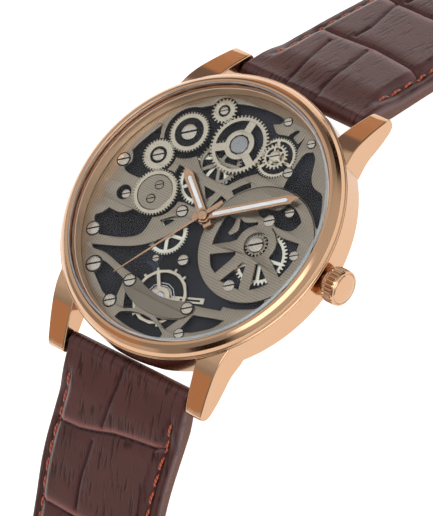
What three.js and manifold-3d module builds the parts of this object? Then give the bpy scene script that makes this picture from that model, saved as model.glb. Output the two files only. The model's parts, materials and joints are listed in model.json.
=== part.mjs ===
// Skeleton wristwatch: rose gold case, open-worked dial with a wheel train, three hands, crown and a
// two-piece padded leather strap with a pin buckle, lying open on its strap ends.
//
// All sizes are millimetres. The origin is the centre of the case back's outer face, where the watch
// meets the wrist. +X points to the crown (3 o'clock), +Y to 12 o'clock and +Z out of the dial.

import * as THREE from 'three';
import { mergeVertices } from 'three/addons/utils/BufferGeometryUtils.js';
import Module from 'manifold-3d';

const wasm = await Module();
wasm.setup();

// ---- Driving dimensions ------------------------------------------------------------------------

const CASE_RADIUS = 21;
const CASE_BORE = 18.75;
const BACK_SEAM = 2.3; // height of the joint between case back and case middle
const BEZEL_SEAM = 6.78; // height of the joint between case middle and bezel
const CRYSTAL_BASE = 8.6; // height where the crystal leaves the bezel
const CRYSTAL_RADIUS = 19.05;
const CRYSTAL_UNDERSIDE = 7.6;
const FIT = 0.05; // gap between pieces that sit against each other
const ROUND = 36; // sides of the large turned pieces
const SMALL_ROUND = 14; // sides of pins, screws and arbors

const LUG_GAP = 22; // between the inner faces of a pair of lugs
const SPRING_BAR_Y = 22.0;
const SPRING_BAR_Z = 1.6;
const SPRING_BAR_RADIUS = 0.75;
const LUG_PIVOT_RADIUS = 0.45;

const CROWN_AXIS_Z = 4.25;
const CROWN_RADIUS = 2.55;
const CROWN_INNER_X = 21.55;
const CROWN_FACE_X = 24.0;
const CROWN_FLUTES = 26;
const STEM_RADIUS = 0.45;

const BASE_TOP = 5.0; // dark plate below the wheels
const PLATE_BOTTOM = 5.6; // open-worked dial plate
const PLATE_TOP = 5.95;
const PLATE_RADIUS = 18.55;
const WHEEL_LEVEL = [5.72, 5.98]; // wheels that stand in the dial plate's windows
const UPPER_LEVEL = [6.0, 6.22]; // winding wheels, which lie over the dial plate
const HOUR_LEVEL = [6.42, 6.58];
const MINUTE_LEVEL = [6.78, 6.94];
const SECONDS_LEVEL = [7.12, 7.24];

// Wheel train seen through the dial, in plan.
const FAN_AXIS = [9.1, -0.2];
const FAN_RADIUS = 8.5;
const WINDING_MODULE = 0.1373;
const CROWN_WHEEL = { axis: [-9.2, 0.2], teeth: 48 };
const IDLER_WHEEL = { teeth: 33, bearing: 120.2 };
const RATCHET_WHEEL = { teeth: 42, bearing: 63.9 };
const GREAT_MODULE = 0.1762;
const GREAT_WHEEL = { axis: [-1.9, 11.1], teeth: 48 };
const DRIVEN_PINION = { teeth: 20, bearing: 6.2 };
const SETTING_PINION = { teeth: 20, bearing: 146.6 };
const THIRD_WHEEL_AXIS = [-3.3, 7.8];
const CENTRE_WHEEL_AXIS = [-4.3, 4.8];
const FOURTH_WHEEL_AXIS = [-4.2, -4.1];
const BARREL_WHEEL_AXIS = [10.6, -1.5];
const BALANCE_AXIS = [0.1, -12.2];
const BALANCE_RADIUS = 4.05;
const PALLET_AXIS = [-3.3, -8.7];

// Directions of the hands, in degrees counterclockwise from +X.
const HOUR_ANGLE = 143.9;
const MINUTE_ANGLE = 34.8;
const SECONDS_ANGLE = 239.5;

// Strap halves leave the lugs on a straight slope and then level out on the ground.
const STRAP_SLOPE = 39.5; // degrees
const STRAP_SHORT_STRAIGHT = 38;
const STRAP_LONG_STRAIGHT = 40;
const STRAP_BEND_RADIUS = 30;
const STRAP_SHORT_LENGTH = 78;
const STRAP_LONG_LENGTH = 115;
const STRAP_WIDTH_AT_LUGS = 21.4;
const STRAP_WIDTH_AT_END = 20;
const STRAP_THICK = 3.8;
const STRAP_THIN = 2.6;
const STRAP_TAPER_LENGTH = 45; // length over which the padding thins out
const BUCKLE_LENGTH = 15;
const BUCKLE_THICKNESS = 2.2;
const BUCKLE_BAR_RADIUS = 0.6;
const KEEPER_WALL = 1.1;
const KEEPER_BREADTH = 4;
const FREE_KEEPER_ALONG = 62.6; // along the short half from its spring bar
const FIXED_KEEPER_ALONG = 70.2;

const degrees = (value) => value * Math.PI / 180;
const vectors = (points) => points.map(([x, y]) => new THREE.Vector2(x, y));
const polar = (axis, radius, angle) => [
  axis[0] + radius * Math.cos(degrees(angle)),
  axis[1] + radius * Math.sin(degrees(angle)),
];

// ---- Materials ---------------------------------------------------------------------------------

const material = (color, roughness, metalness) => (
  new THREE.MeshStandardMaterial({ color, roughness, metalness })
);
const roseGold = material('#c8906a', 0.2, 1);
const wheelMetal = material('#cdc6b4', 0.35, 1);
const plateMetal = material('#a59b8a', 0.45, 1);
const darkPlate = material('#2b323c', 0.4, 0.4);
const steel = material('#b9bcc0', 0.3, 1);
const blackSteel = material('#16171a', 0.4, 0.6);
const brass = material('#c2a35a', 0.35, 1);
const sapphire = new THREE.MeshStandardMaterial({
  color: '#e8eef2', roughness: 0.05, metalness: 0, transparent: true, opacity: 0.25,
});
const jewel = material('#c4ccce', 0.2, 0);
const luminous = material('#f4f2ea', 0.7, 0);
const rubber = material('#1c1c1c', 0.8, 0);
const plastic = material('#d8d4c8', 0.6, 0);
const leather = material('#4a1f1a', 0.5, 0);

// ---- Solids ------------------------------------------------------------------------------------

// The closed solid of a three.js geometry.
function solidOf(geometry) {
  const bare = geometry.clone();
  bare.deleteAttribute('normal');
  bare.deleteAttribute('uv');
  const merged = mergeVertices(bare, 1e-5);
  return new wasm.Manifold(new wasm.Mesh({
    numProp: 3,
    vertProperties: new Float32Array(merged.attributes.position.array),
    triVerts: new Uint32Array(merged.index.array),
  }));
}

function geometryOf(solid) {
  const mesh = solid.getMesh();
  const geometry = new THREE.BufferGeometry();
  geometry.setAttribute('position', new THREE.BufferAttribute(new Float32Array(mesh.vertProperties), 3));
  geometry.setIndex(new THREE.BufferAttribute(new Uint32Array(mesh.triVerts), 1));
  geometry.computeVertexNormals();
  return geometry;
}

const combine = (operation) => (first, ...rest) => geometryOf(
  rest.reduce((solid, geometry) => solid[operation](solidOf(geometry)), solidOf(first)),
);
const cut = combine('subtract');
const join = combine('add');
const overlapOf = combine('intersect');

// A solid turned about Z from a closed profile of [radius, height] points, counterclockwise.
function turned(profile, sides = ROUND) {
  const points = vectors([...profile, profile[0]]);
  return new THREE.LatheGeometry(points, sides).rotateX(Math.PI / 2);
}

const ring = (outer, inner, low, high, sides = ROUND) => turned(
  [[inner, low], [outer, low], [outer, high], [inner, high]], sides,
);

// A solid disc or stepped arbor: its profile starts and ends on the axis.
function spindle(profile, sides = SMALL_ROUND) {
  const points = vectors(profile);
  return new THREE.LatheGeometry(points, sides).rotateX(Math.PI / 2);
}

const disc = (radius, low, high, sides = SMALL_ROUND) => spindle(
  [[0, low], [radius, low], [radius, high], [0, high]], sides,
);

const outline = (points) => new THREE.Shape(vectors(points));

// A flat piece of the given outline between two heights.
function slab(shape, low, high, curveSegments = 8) {
  const depth = high - low;
  const geometry = new THREE.ExtrudeGeometry(shape, { depth, bevelEnabled: false, curveSegments });
  return geometry.translate(0, 0, low);
}

const moved = (geometry, [x, y], z = 0) => geometry.translate(x, y, z);

// A piece drawn in a side view (y to the right, z up) and extruded along X.
function sideSlab(points, xLow, xHigh) {
  const geometry = new THREE.ExtrudeGeometry(outline(points), { depth: xHigh - xLow, bevelEnabled: false });
  geometry.applyMatrix4(new THREE.Matrix4().set(0, 0, 1, xLow, 1, 0, 0, 0, 0, 1, 0, 0, 0, 0, 0, 1));
  return geometry;
}

const alongX = (geometry, x, y, z) => geometry.rotateY(Math.PI / 2).translate(x, y, z);

function rod(radius, xLow, xHigh, y, z, sides = SMALL_ROUND) {
  return alongX(disc(radius, xLow, xHigh, sides), 0, y, z);
}

const model = new THREE.Group();

function add(name, geometry, finish) {
  const mesh = new THREE.Mesh(geometry, finish);
  mesh.name = name;
  model.add(mesh);
}

// ---- Case --------------------------------------------------------------------------------------

const LUG_PROFILE = [
  [14.0, 6.7], [14.0, 2.4], [17.0, 2.34], [20.5, 0.95], [22.6, 0.4], [23.5, 0.45], [23.95, 1.0],
  [23.95, 1.75], [23.4, 2.35], [21.0, 4.15], [18.6, 5.7], [16.8, 6.45], [15.5, 6.7],
];

// One lug towards +X and 12 o'clock: a side profile, tapered in plan towards its tip.
function lug() {
  const side = sideSlab(LUG_PROFILE.toReversed(), LUG_GAP / 2, 15.6);
  const plan = slab(outline([[10, 13], [15.25, 13], [15.07, 15], [13.75, 24.5], [10, 24.5]]), 0, 8);
  return overlapOf(side, plan);
}

function mirrored(geometry, flipX, flipY) {
  const copy = geometry.clone().scale(flipX, flipY, 1);
  if (flipX * flipY < 0) {
    const order = copy.index.array;
    for (let i = 0; i < order.length; i += 3) [order[i], order[i + 1]] = [order[i + 1], order[i]];
  }
  return copy;
}

function caseMiddle() {
  const band = turned([
    [17.5, BACK_SEAM + 0.02], [20.4, BACK_SEAM + 0.02], [CASE_RADIUS, BACK_SEAM + 0.6],
    [CASE_RADIUS, BEZEL_SEAM - 0.02], [17.5, BEZEL_SEAM - 0.02],
  ]);
  const corner = lug();
  const lugs = [[1, 1], [-1, 1], [1, -1], [-1, -1]].map(([x, y]) => mirrored(corner, x, y));
  const bore = disc(CASE_BORE, 0, 10, ROUND);
  const pivots = [-1, 1].map((side) => (
    rod(LUG_PIVOT_RADIUS + FIT, -12.4, 12.4, side * SPRING_BAR_Y, SPRING_BAR_Z)
  ));
  const recesses = [-1, 1].map((side) => (
    rod(STRAP_THICK / 2 + 0.3, -LUG_GAP / 2, LUG_GAP / 2, side * SPRING_BAR_Y, SPRING_BAR_Z)
  ));
  const crownHole = rod(1.25 + FIT, 10, 30, 0, CROWN_AXIS_Z);
  return cut(join(band, ...lugs), bore, ...pivots, ...recesses, crownHole);
}

function bezel() {
  return turned([
    [18.72, BEZEL_SEAM], [CASE_RADIUS, BEZEL_SEAM], [CASE_RADIUS, 7.05], [20.86, 7.18], [20.55, 7.75],
    [20.1, 8.25], [19.65, 8.57], [19.35, 8.65], [19.12, 8.6], [19.12, 7.25], [18.72, 7.25],
  ]);
}

function crystal() {
  return spindle([
    [0, CRYSTAL_UNDERSIDE], [CRYSTAL_RADIUS, CRYSTAL_UNDERSIDE], [CRYSTAL_RADIUS, CRYSTAL_BASE],
    [18.42, 8.88], [0, 8.88],
  ], ROUND);
}

// A shallow cup whose wall carries the case middle.
function caseBack() {
  return spindle([
    [0, 0], [17.2, 0], [19.2, 0.9], [19.5, BACK_SEAM], [18.7, BACK_SEAM], [18.6, 0.9], [0, 0.9],
  ], ROUND);
}

// Plastic spacer that centres the movement, slotted for the winding stem.
function movementRing() {
  return cut(ring(18.0, 17.3, 0.95, 4.6), rod(1.5, 10, 20, 0, CROWN_AXIS_Z));
}

function addCase() {
  add('case_middle', caseMiddle(), roseGold);
  add('bezel', bezel(), roseGold);
  add('crystal', crystal(), sapphire);
  add('crystal_gasket', ring(19.05, 18.75, 7.28, 7.57), rubber);
  add('inner_flange', turned([[18.35, 5.98], [18.68, 5.98], [18.68, 7.55], [18.5, 7.55]]), roseGold);
  add('case_back', caseBack(), roseGold);
  add('back_gasket', ring(18.55, 18.1, 0.95, 1.5), rubber);
  add('movement_ring', movementRing(), plastic);
  add('crown_tube', alongX(ring(1.25, 0.65, 18.9, 21.5, SMALL_ROUND), 0, 0, CROWN_AXIS_Z), roseGold);
  for (const [name, side] of [['spring_bar_12', 1], ['spring_bar_6', -1]]) {
    add(name, pivotedBar(SPRING_BAR_RADIUS, LUG_GAP / 2, side * SPRING_BAR_Y, SPRING_BAR_Z), steel);
  }
}

// A bar along X with a thin pivot at each end, which stands in the two sides of a gap.
function pivotedBar(radius, halfGap, y, z) {
  const tip = halfGap + 1.2;
  const shoulder = halfGap - 0.3;
  const profile = [
    [0, -tip], [LUG_PIVOT_RADIUS, -tip], [LUG_PIVOT_RADIUS, -shoulder], [radius, -shoulder],
    [radius, shoulder], [LUG_PIVOT_RADIUS, shoulder], [LUG_PIVOT_RADIUS, tip], [0, tip],
  ];
  return alongX(spindle(profile, 12), 0, y, z);
}

// ---- Crown and stem ----------------------------------------------------------------------------

// Fluted body with a raised ring round its slightly domed face.
function crown() {
  const flutes = new THREE.Shape();
  const steps = CROWN_FLUTES * 2;
  for (let i = 0; i < steps; i += 1) {
    const radius = i % 2 ? CROWN_RADIUS - 0.22 : CROWN_RADIUS;
    const [x, y] = polar([0, 0], radius, 360 * i / steps);
    if (i) flutes.lineTo(x, y);
    else flutes.moveTo(x, y);
  }
  const body = slab(flutes, CROWN_INNER_X, CROWN_FACE_X - 0.35);
  const face = spindle([
    [0, CROWN_INNER_X + 0.2], [2.1, CROWN_INNER_X + 0.2], [2.1, CROWN_FACE_X - 0.1], [1.9, CROWN_FACE_X],
    [1.6, CROWN_FACE_X - 0.05], [0.8, CROWN_FACE_X + 0.04], [0, CROWN_FACE_X + 0.06],
  ], 24);
  const socket = disc(STEM_RADIUS + FIT, CROWN_INNER_X - 1, CROWN_FACE_X - 0.8);
  return alongX(cut(join(body, face), socket), 0, 0, CROWN_AXIS_Z);
}

function addCrown() {
  add('crown', crown(), roseGold);
  add('winding_stem', rod(STEM_RADIUS, 13.6, CROWN_FACE_X - 0.85, 0, CROWN_AXIS_Z, 12), steel);
  const slider = new THREE.BoxGeometry(0.6, 2.6, 1.6).translate(14.6, 0, CROWN_AXIS_Z - 0.35);
  add('setting_slider', cut(slider, rod(STEM_RADIUS + FIT, 14, 15.5, 0, CROWN_AXIS_Z)), steel);
}

// ---- Gears -------------------------------------------------------------------------------------

// Tooth outline of a gear. phase is the direction of one tooth's middle, in
// degrees.
function toothedShape(teeth, module, phase) {
  const pitchRadius = teeth * module / 2;
  const tip = pitchRadius + 0.9 * module;
  const root = pitchRadius - 1.15 * module;
  const corners = [[-0.3, root], [-0.13, tip], [0.13, tip], [0.3, root]];
  const shape = new THREE.Shape();
  for (let tooth = 0; tooth < teeth; tooth += 1) {
    corners.forEach(([offset, radius], index) => {
      const [x, y] = polar([0, 0], radius, phase + 360 * (tooth + offset) / teeth);
      if (tooth + index) shape.lineTo(x, y);
      else shape.moveTo(x, y);
    });
  }
  return shape;
}

function circleHole(shape, radius) {
  shape.holes.push(new THREE.Path().absarc(0, 0, radius, 0, 2 * Math.PI, true));
}

// Cuts the windows between a wheel's spokes: straight-sided spokes of one width.
function spokeWindows(shape, inner, outer, count, spokeWidth, firstSpoke) {
  const inset = (radius) => Math.asin(spokeWidth / 2 / radius);
  for (let i = 0; i < count; i += 1) {
    const start = degrees(firstSpoke + 360 * i / count);
    const end = start + 2 * Math.PI / count;
    const window = new THREE.Path();
    window.absarc(0, 0, outer, start + inset(outer), end - inset(outer), false);
    window.absarc(0, 0, inner, end - inset(inner), start + inset(inner), true);
    window.closePath();
    shape.holes.push(window);
  }
}

// The tooth direction that puts a gear in mesh with another along the line of their centres.
function meshedPhase(teeth, otherTeeth, otherPhase, bearing) {
  const otherCount = (bearing - otherPhase) * otherTeeth / 360;
  return bearing + 180 - (0.5 - otherCount) * 360 / teeth;
}

// A spoked wheel with its hub and a short arbor above and below.
function wheel({ axis, teeth, module, level, arbor }) {
  const shape = toothedShape(teeth, module, 0);
  spokeWindows(shape, 0.7, teeth * module / 2 - 0.6, 5, 0.5, 8);
  const pin = spindle([[0, arbor[0]], [0.35, arbor[0]], [0.35, arbor[1]], [0, arbor[1]]], 8);
  return moved(join(slab(shape, ...level, 3), pin), axis);
}

// The axis of a gear in mesh with another: their centres stand half the sum of the teeth apart.
function meshedAxis(other, axis, gear, module) {
  return polar(axis, (other.teeth + gear.teeth) * module / 2, gear.bearing);
}

const idlerAxis = meshedAxis(CROWN_WHEEL, CROWN_WHEEL.axis, IDLER_WHEEL, WINDING_MODULE);
const ratchetAxis = meshedAxis(IDLER_WHEEL, idlerAxis, RATCHET_WHEEL, WINDING_MODULE);
const drivenAxis = meshedAxis(GREAT_WHEEL, GREAT_WHEEL.axis, DRIVEN_PINION, GREAT_MODULE);
const settingAxis = meshedAxis(GREAT_WHEEL, GREAT_WHEEL.axis, SETTING_PINION, GREAT_MODULE);

// Three winding wheels in mesh, lying over the dial plate.
function addWindingWheels() {
  const idlerPhase = meshedPhase(IDLER_WHEEL.teeth, CROWN_WHEEL.teeth, 0, IDLER_WHEEL.bearing);
  const ratchetPhase = meshedPhase(RATCHET_WHEEL.teeth, IDLER_WHEEL.teeth, idlerPhase, RATCHET_WHEEL.bearing);

  const crownWheel = toothedShape(CROWN_WHEEL.teeth, WINDING_MODULE, 0);
  circleHole(crownWheel, 2.6 + FIT);
  add('crown_wheel', moved(slab(crownWheel, ...UPPER_LEVEL, 12), CROWN_WHEEL.axis), wheelMetal);
  const core = disc(2.6, PLATE_TOP + 0.02, 6.2, 24);
  const coreScrews = [-1.1, 1.1].map((y) => screw(0.6, 6.1, 6.3).translate(0, y, 0));
  add('crown_wheel_core', moved(join(core, ...coreScrews), CROWN_WHEEL.axis), plateMetal);

  const idler = toothedShape(IDLER_WHEEL.teeth, WINDING_MODULE, idlerPhase);
  circleHole(idler, 1.25);
  add('idler_wheel', moved(slab(idler, ...UPPER_LEVEL, 10), idlerAxis), wheelMetal);
  const idlerScrew = join(disc(1.2, 5.2, 6.1), screw(0.9, 6.0, 6.26));
  add('idler_screw', moved(idlerScrew, idlerAxis), wheelMetal);

  const ratchet = toothedShape(RATCHET_WHEEL.teeth, WINDING_MODULE, ratchetPhase);
  circleHole(ratchet, 2.15);
  add('ratchet_wheel', moved(slab(ratchet, ...UPPER_LEVEL, 10), ratchetAxis), wheelMetal);
  add('ratchet_collar', moved(ring(2.1, 1.25, 5.9, 6.1, 20), ratchetAxis), blackSteel);
  add('ratchet_screw', moved(join(disc(0.5, 5.1, 6.1, 12), screw(1.2, 6.0, 6.32)), ratchetAxis), wheelMetal);
}

// A screw head with its slot, on the Z axis.
function screw(radius, low, high, slotAngle = 35) {
  const chamfer = 0.06;
  const slot = new THREE.BoxGeometry(radius * 2.2, radius * 0.2, 0.1);
  slot.rotateZ(degrees(slotAngle)).translate(0, 0, high);
  const head = spindle([
    [0, low], [radius, low], [radius, high - chamfer], [radius - chamfer, high], [0, high],
  ], SMALL_ROUND);
  return cut(head, slot);
}

// The large three-spoked wheel and the two pinions that it drives.
function addGreatWheel() {
  const { axis, teeth } = GREAT_WHEEL;
  const shape = toothedShape(teeth, GREAT_MODULE, 0);
  spokeWindows(shape, 2.2, 3.55, 3, 1.15, 90);
  circleHole(shape, 1.5);
  add('great_wheel', moved(slab(shape, ...WHEEL_LEVEL, 5), axis), wheelMetal);
  add('great_wheel_jewel', moved(spindle([
    [0, 5.5], [1.25, 5.5], [1.25, 6.0], [1.1, 6.08], [0, 6.1],
  ], 18), axis), jewel);

  const drivenPhase = meshedPhase(DRIVEN_PINION.teeth, teeth, 0, DRIVEN_PINION.bearing);
  const pinion = toothedShape(DRIVEN_PINION.teeth, GREAT_MODULE, drivenPhase);
  spokeWindows(pinion, 0.85, 1.3, 5, 0.28, 270);
  const lower = toothedShape(46, 0.126, 0);
  spokeWindows(lower, 1.0, 2.45, 3, 0.45, 115);
  const post = disc(0.6, 5.45, 5.75, 10);
  const top = screw(0.75, 5.9, 6.14);
  const driven = join(slab(lower, 5.42, 5.56, 3), post, slab(pinion, ...WHEEL_LEVEL, 2), top);
  add('driven_wheel', moved(driven, drivenAxis), wheelMetal);

  const settingPhase = meshedPhase(SETTING_PINION.teeth, teeth, 0, SETTING_PINION.bearing);
  const setting = toothedShape(SETTING_PINION.teeth, GREAT_MODULE, settingPhase);
  circleHole(setting, 0.9);
  add('setting_pinion', moved(slab(setting, ...WHEEL_LEVEL, 5), settingAxis), wheelMetal);
  add('setting_pinion_screw', moved(screw(0.62, 5.1, 6.05), settingAxis), wheelMetal);
}

// Wheels that run between the base plate and the dial plate.
function addLowerWheels() {
  const train = [
    {
      name: 'centre_wheel', axis: CENTRE_WHEEL_AXIS,
      teeth: 44, module: 0.164, level: [5.06, 5.2], arbor: [5.03, 5.24],
    },
    {
      name: 'third_wheel', axis: THIRD_WHEEL_AXIS,
      teeth: 40, module: 0.16, level: [5.32, 5.46], arbor: [5.27, 5.54],
    },
    {
      name: 'fourth_wheel', axis: FOURTH_WHEEL_AXIS,
      teeth: 44, module: 0.13, level: [5.3, 5.46], arbor: [5.03, 5.56],
    },
    {
      name: 'barrel_wheel', axis: BARREL_WHEEL_AXIS,
      teeth: 42, module: 0.18, level: [5.28, 5.46], arbor: [5.03, 5.56],
    },
  ];
  for (const { name, ...sizes } of train) {
    add(name, wheel(sizes), wheelMetal);
  }
  const fanWheel = toothedShape(18, 0.17, 0);
  circleHole(fanWheel, 1.2);
  add('fan_wheel', moved(slab(fanWheel, 5.62, 5.84, 5), FAN_AXIS), wheelMetal);
  add('fan_screw', moved(screw(1.12, 5.5, 6.1), FAN_AXIS), wheelMetal);
}

// ---- Balance -----------------------------------------------------------------------------------

function balanceWheel() {
  const rim = new THREE.Shape().absarc(0, 0, BALANCE_RADIUS, 0, 2 * Math.PI, false);
  spokeWindows(rim, 1.5, BALANCE_RADIUS - 0.5, 3, 0.5, 128);
  circleHole(rim, 0.75);
  const studs = [65, 90, 128, 155, 185, 240, 300, 350].map((angle) => {
    const stud = new THREE.BoxGeometry(0.5, 0.36, 0.2).translate(BALANCE_RADIUS + 0.1, 0, 5.4);
    return stud.rotateZ(degrees(angle));
  });
  return moved(join(slab(rim, 5.3, 5.5, 7), ...studs), BALANCE_AXIS);
}

// Flat spiral spring below the balance.
function hairspring() {
  const turns = 4;
  const stepsPerTurn = 12;
  const width = 0.05;
  const radiusAt = (step, side) => 0.9 + 0.38 * step / stepsPerTurn + side * width;
  const count = turns * stepsPerTurn;
  const edge = (side) => Array.from({ length: count + 1 }, (_, step) => (
    polar([0, 0], radiusAt(step, side), 360 * step / stepsPerTurn)
  ));
  return moved(slab(outline([...edge(1), ...edge(-1).reverse()]), 5.14, 5.24), BALANCE_AXIS);
}

// Slotted index arm that trims the rate.
function regulatorArm() {
  const arm = outline([[1.2, -0.42], [6.6, -0.42], [6.6, 0.42], [1.2, 0.42]]);
  arm.holes.push(new THREE.Path(vectors([[2.9, -0.14], [2.9, 0.14], [6.0, 0.14], [6.0, -0.14]])));
  const collar = new THREE.Shape().absarc(0, 0, 1.6, 0, 2 * Math.PI, false);
  circleHole(collar, 1.0);
  const flat = join(slab(arm, 5.03, 5.11), slab(collar, 5.03, 5.11, 10));
  return moved(flat.rotateZ(degrees(19)), BALANCE_AXIS);
}

// Anchor that locks the escapement, hidden below the dial plate.
function palletFork() {
  const fork = outline([
    [-1.3, 1.1], [-0.6, 0.4], [-0.2, -2.3], [-0.45, -2.8], [-0.2, -3.0], [0, -2.5], [0.2, -3.0], [0.45, -2.8],
    [0.2, -2.3], [0.6, 0.4], [1.3, 1.1], [1.0, 1.4], [0, 0.6], [-1.0, 1.4],
  ]);
  return moved(slab(fork, 5.03, 5.11).rotateZ(degrees(44)), PALLET_AXIS);
}

function addBalance() {
  add('balance_wheel', balanceWheel(), wheelMetal);
  const staff = spindle([[0, 5.02], [0.3, 5.02], [0.3, 5.27], [0.7, 5.27], [0.7, 5.52], [0, 5.52]], 16);
  add('balance_staff', moved(staff, BALANCE_AXIS), steel);
  add('hairspring', hairspring(), steel);
  add('regulator_arm', regulatorArm(), wheelMetal);
  add('pallet_fork', palletFork(), steel);
}

// ---- Plates ------------------------------------------------------------------------------------

// Points on an arc, ends included.
function arc(centre, radius, from, to, steps) {
  return Array.from({ length: steps + 1 }, (_, i) => polar(centre, radius, from + (to - from) * i / steps));
}

const CENTRE = [0, 0];
const RIM_INNER = 17;
const round = (axis, radius, steps = 24) => arc(axis, radius, 0, 360 - 360 / steps, steps - 1);

// Windows of the dial plate, each an outline in plan.
function dialWindows() {
  const train = [
    ...arc(CENTRE, RIM_INNER, 135, 82.6, 8), [2.1, 16.1], [1.0, 15.6], [2.0, 14.8], [4.2, 14.2], [3.2, 8.7],
    ...arc(FAN_AXIS, 10.6, 126, 149, 4), [-3.5, 5.2], [-5.1, 5.8], [-6.3, 6.8], [-9.7, 9.7],
  ];
  const trainNotch = [
    [4.0, 14.2], [4.2, 15.4], [4.8, 16.3], [5.3, 16.3], [4.9, 15.1], [6.1, 14.6], [6.5, 15.9], [6.6, 13],
  ];
  const left = [
    [-14.3, 9.0], [-13.4, 7.0], [-12, 7.3], [-12, 2.4], [-12.4, 1.1], [-15, 0.95], [-15.9, 1.5], [-15.3, 2.5],
    [-15.5, 3.4], [-16.25, 4.1], [-15.4, 6.6],
  ];
  const hourWindow = [
    [-8.4, 5.0], [-7.4, 5.1], [-4.5, 3.0], [-2.2, 1.3], [-2.6, 0.7], [-4.6, 0.75], [-5.4, 0.4], [-6.5, 1.0],
    [-7.5, 2.5], [-8.4, 3.0],
  ];
  const lowerLeft = [
    [-14.4, -4.4], ...arc([-13.5, -1.6], 2.95, 284, 328, 3), [-9.5, -3.2], [-7.5, -3.0], [-7.4, -5.2],
    [-8.2, -6.4], [-10.5, -7.55], [-13.5, -8.3], [-13.9, -7.3], [-15.3, -6.9], [-15.7, -6.1], [-14.9, -5.4],
  ];
  const lower = [
    [-13.6, -9.9], [-12.5, -9.55], [-9, -8.35], [-6.4, -7.0], [-4.3, -5.0], [-2.9, -2.9], [-1.6, -1.0],
    [0.6, -0.9], [9, -1], [15.2, -6.6], [14.9, -7.9], [12.0, -9.3], [10.0, -9.7], [10.0, -10.35],
    [6.4, -11.2], [4.6, -11.4], [2.6, -12.0], [0.3, -12.3], [-2.0, -12.0], [-4.2, -11.2], [-5.3, -11.15],
    [-8, -10.75], [-10.9, -10.0],
    [-13.0, -10.35],
  ];
  return [
    train,
    trainNotch,
    left,
    hourWindow,
    lowerLeft,
    lower,
    [[-6.2, -2.9], [-4.6, -1.5], [-3.9, -1.3], [-4.2, -2.1], [-5.1, -3.5]],
    [[-3.1, 3.95], [-1.0, 3.85], [-1.4, 2.0]],
    [[0.05, 3.75], [1.2, 3.5], [0.6, 2.0], [-0.6, 1.2]],
    [
      [-10.8, -11.2], [-9.5, -11.3], [-5.9, -12.3], [-5.8, -13.6], [-5.5, -15], [-7, -15.6], [-10.7, -13.3],
      [-10.3, -12.2],
    ],
    [[6.6, -12.5], [11.3, -11.3], [10.5, -13], [7.2, -15.2], [6.0, -15]],
    [[-4.7, -13.8], [-3.6, -15.8], [-2, -15.2], [-2.2, -14.6]],
    [[5, -14], [4, -15.9], [1.6, -15], [3, -14.75]],
    [...arc([0, -22.6], 7.2, 122, 56, 7), ...arc(CENTRE, 17.85, 283, 257, 4)],
    [
      [7.8, 13.9], [8.9, 14.5], [9.8, 13.9], [10.3, 12.6], [10.9, 11.1], [12, 10.1],
      ...arc(CENTRE, RIM_INNER, 35.6, 18.5, 3), ...arc(FAN_AXIS, 8.7, 40, 98, 6), [7.7, 10], [7.7, 12],
    ],
    [...arc(FAN_AXIS, 9.55, 130, 147, 3), ...arc(FAN_AXIS, 8.72, 147, 130, 3)],
    round([-13.7, -1.6], 1.1, 18),
    round([-8.9, 0.3], 3.55, 24),
  ];
}

// A plate at the dial's level with holes of the given outlines.
function pierced(plate, outlines) {
  return cut(plate, ...outlines.map((points) => slab(outline(points), PLATE_BOTTOM - 1, PLATE_TOP + 1)));
}

function dialPlate() {
  const clearings = [
    round(idlerAxis, 2.6),
    round(ratchetAxis, 3.85),
    round(drivenAxis, 3.25),
    round(settingAxis, 2.0),
    round(GREAT_WHEEL.axis, 4.6, 32),
    round(FAN_AXIS, FAN_RADIUS + 0.1, 40),
    round(CENTRE, 1.1, 20),
  ];
  return pierced(disc(PLATE_RADIUS, PLATE_BOTTOM, PLATE_TOP, 48), [...dialWindows(), ...clearings]);
}

// Round bridge: a hub with spokes fanning out below it, a click lever on its left and a window above.
function fanBridge() {
  const hub = round(FAN_AXIS, 1.8);
  const leverWindow = [
    [2.5, 1.75], [4.05, 1.9], [4.35, 1.4], [4.4, 0.3], [4.25, -0.35], [4.7, -0.6], [5.35, 0.15], [5.45, 0.8],
    [5.1, 1.4], [4.75, 2.15], [5.4, 1.85], [6.2, 2.0], [7.5, 2.75], [7.65, 2.35], [6.9, 1.75], [6.35, 1.0],
    [6.1, 0.2], [6.1, -0.9], [3.1, -2.75], [2.75, -1.6], [2.6, -0.4],
  ];
  const rightWindow = [
    [9.7, 2.8], [10.1, 2.8], [11.3, 2.1], [14.9, 2.45], [15.1, 1.5], [15.55, 0.2], [15.5, -1.0],
    [15.05, -2.8], [11.9, -0.95], [12.1, -0.1], [11.95, 0.8], [11.4, 1.7], [10.6, 2.4],
  ];
  const fanWindows = [
    [[3.65, -4.05], [6.9, -2.25], [7.25, -2.75], [5.95, -6.05], [4.9, -5.6], [4.2, -4.9]],
    [[8.75, -3.15], [9.4, -3.15], [10.55, -6.7], [7.3, -6.7], [8.0, -5.1]],
    [[10.7, -2.6], [11.15, -2.3], [14.1, -4.25], [13.2, -5.3], [12.1, -6.1]],
  ];
  const upperWindow = [
    [10.0, 6.7], [11.2, 6.6], [12.5, 6.0], [13.4, 5.2], [13.1, 3.9], [12.2, 3.2], [9.8, 3.2], [9.2, 4.2],
    [8.4, 4.4], [7.9, 3.5], [7.0, 3.6], [6.4, 4.1], [7.6, 4.9], [9.4, 5.3],
  ];
  const bridge = moved(disc(FAN_RADIUS, PLATE_BOTTOM + 0.02, PLATE_TOP + 0.02, 40), FAN_AXIS);
  return pierced(bridge, [hub, leverWindow, rightWindow, ...fanWindows, upperWindow, round(CENTRE, 1.1, 20)]);
}

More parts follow.
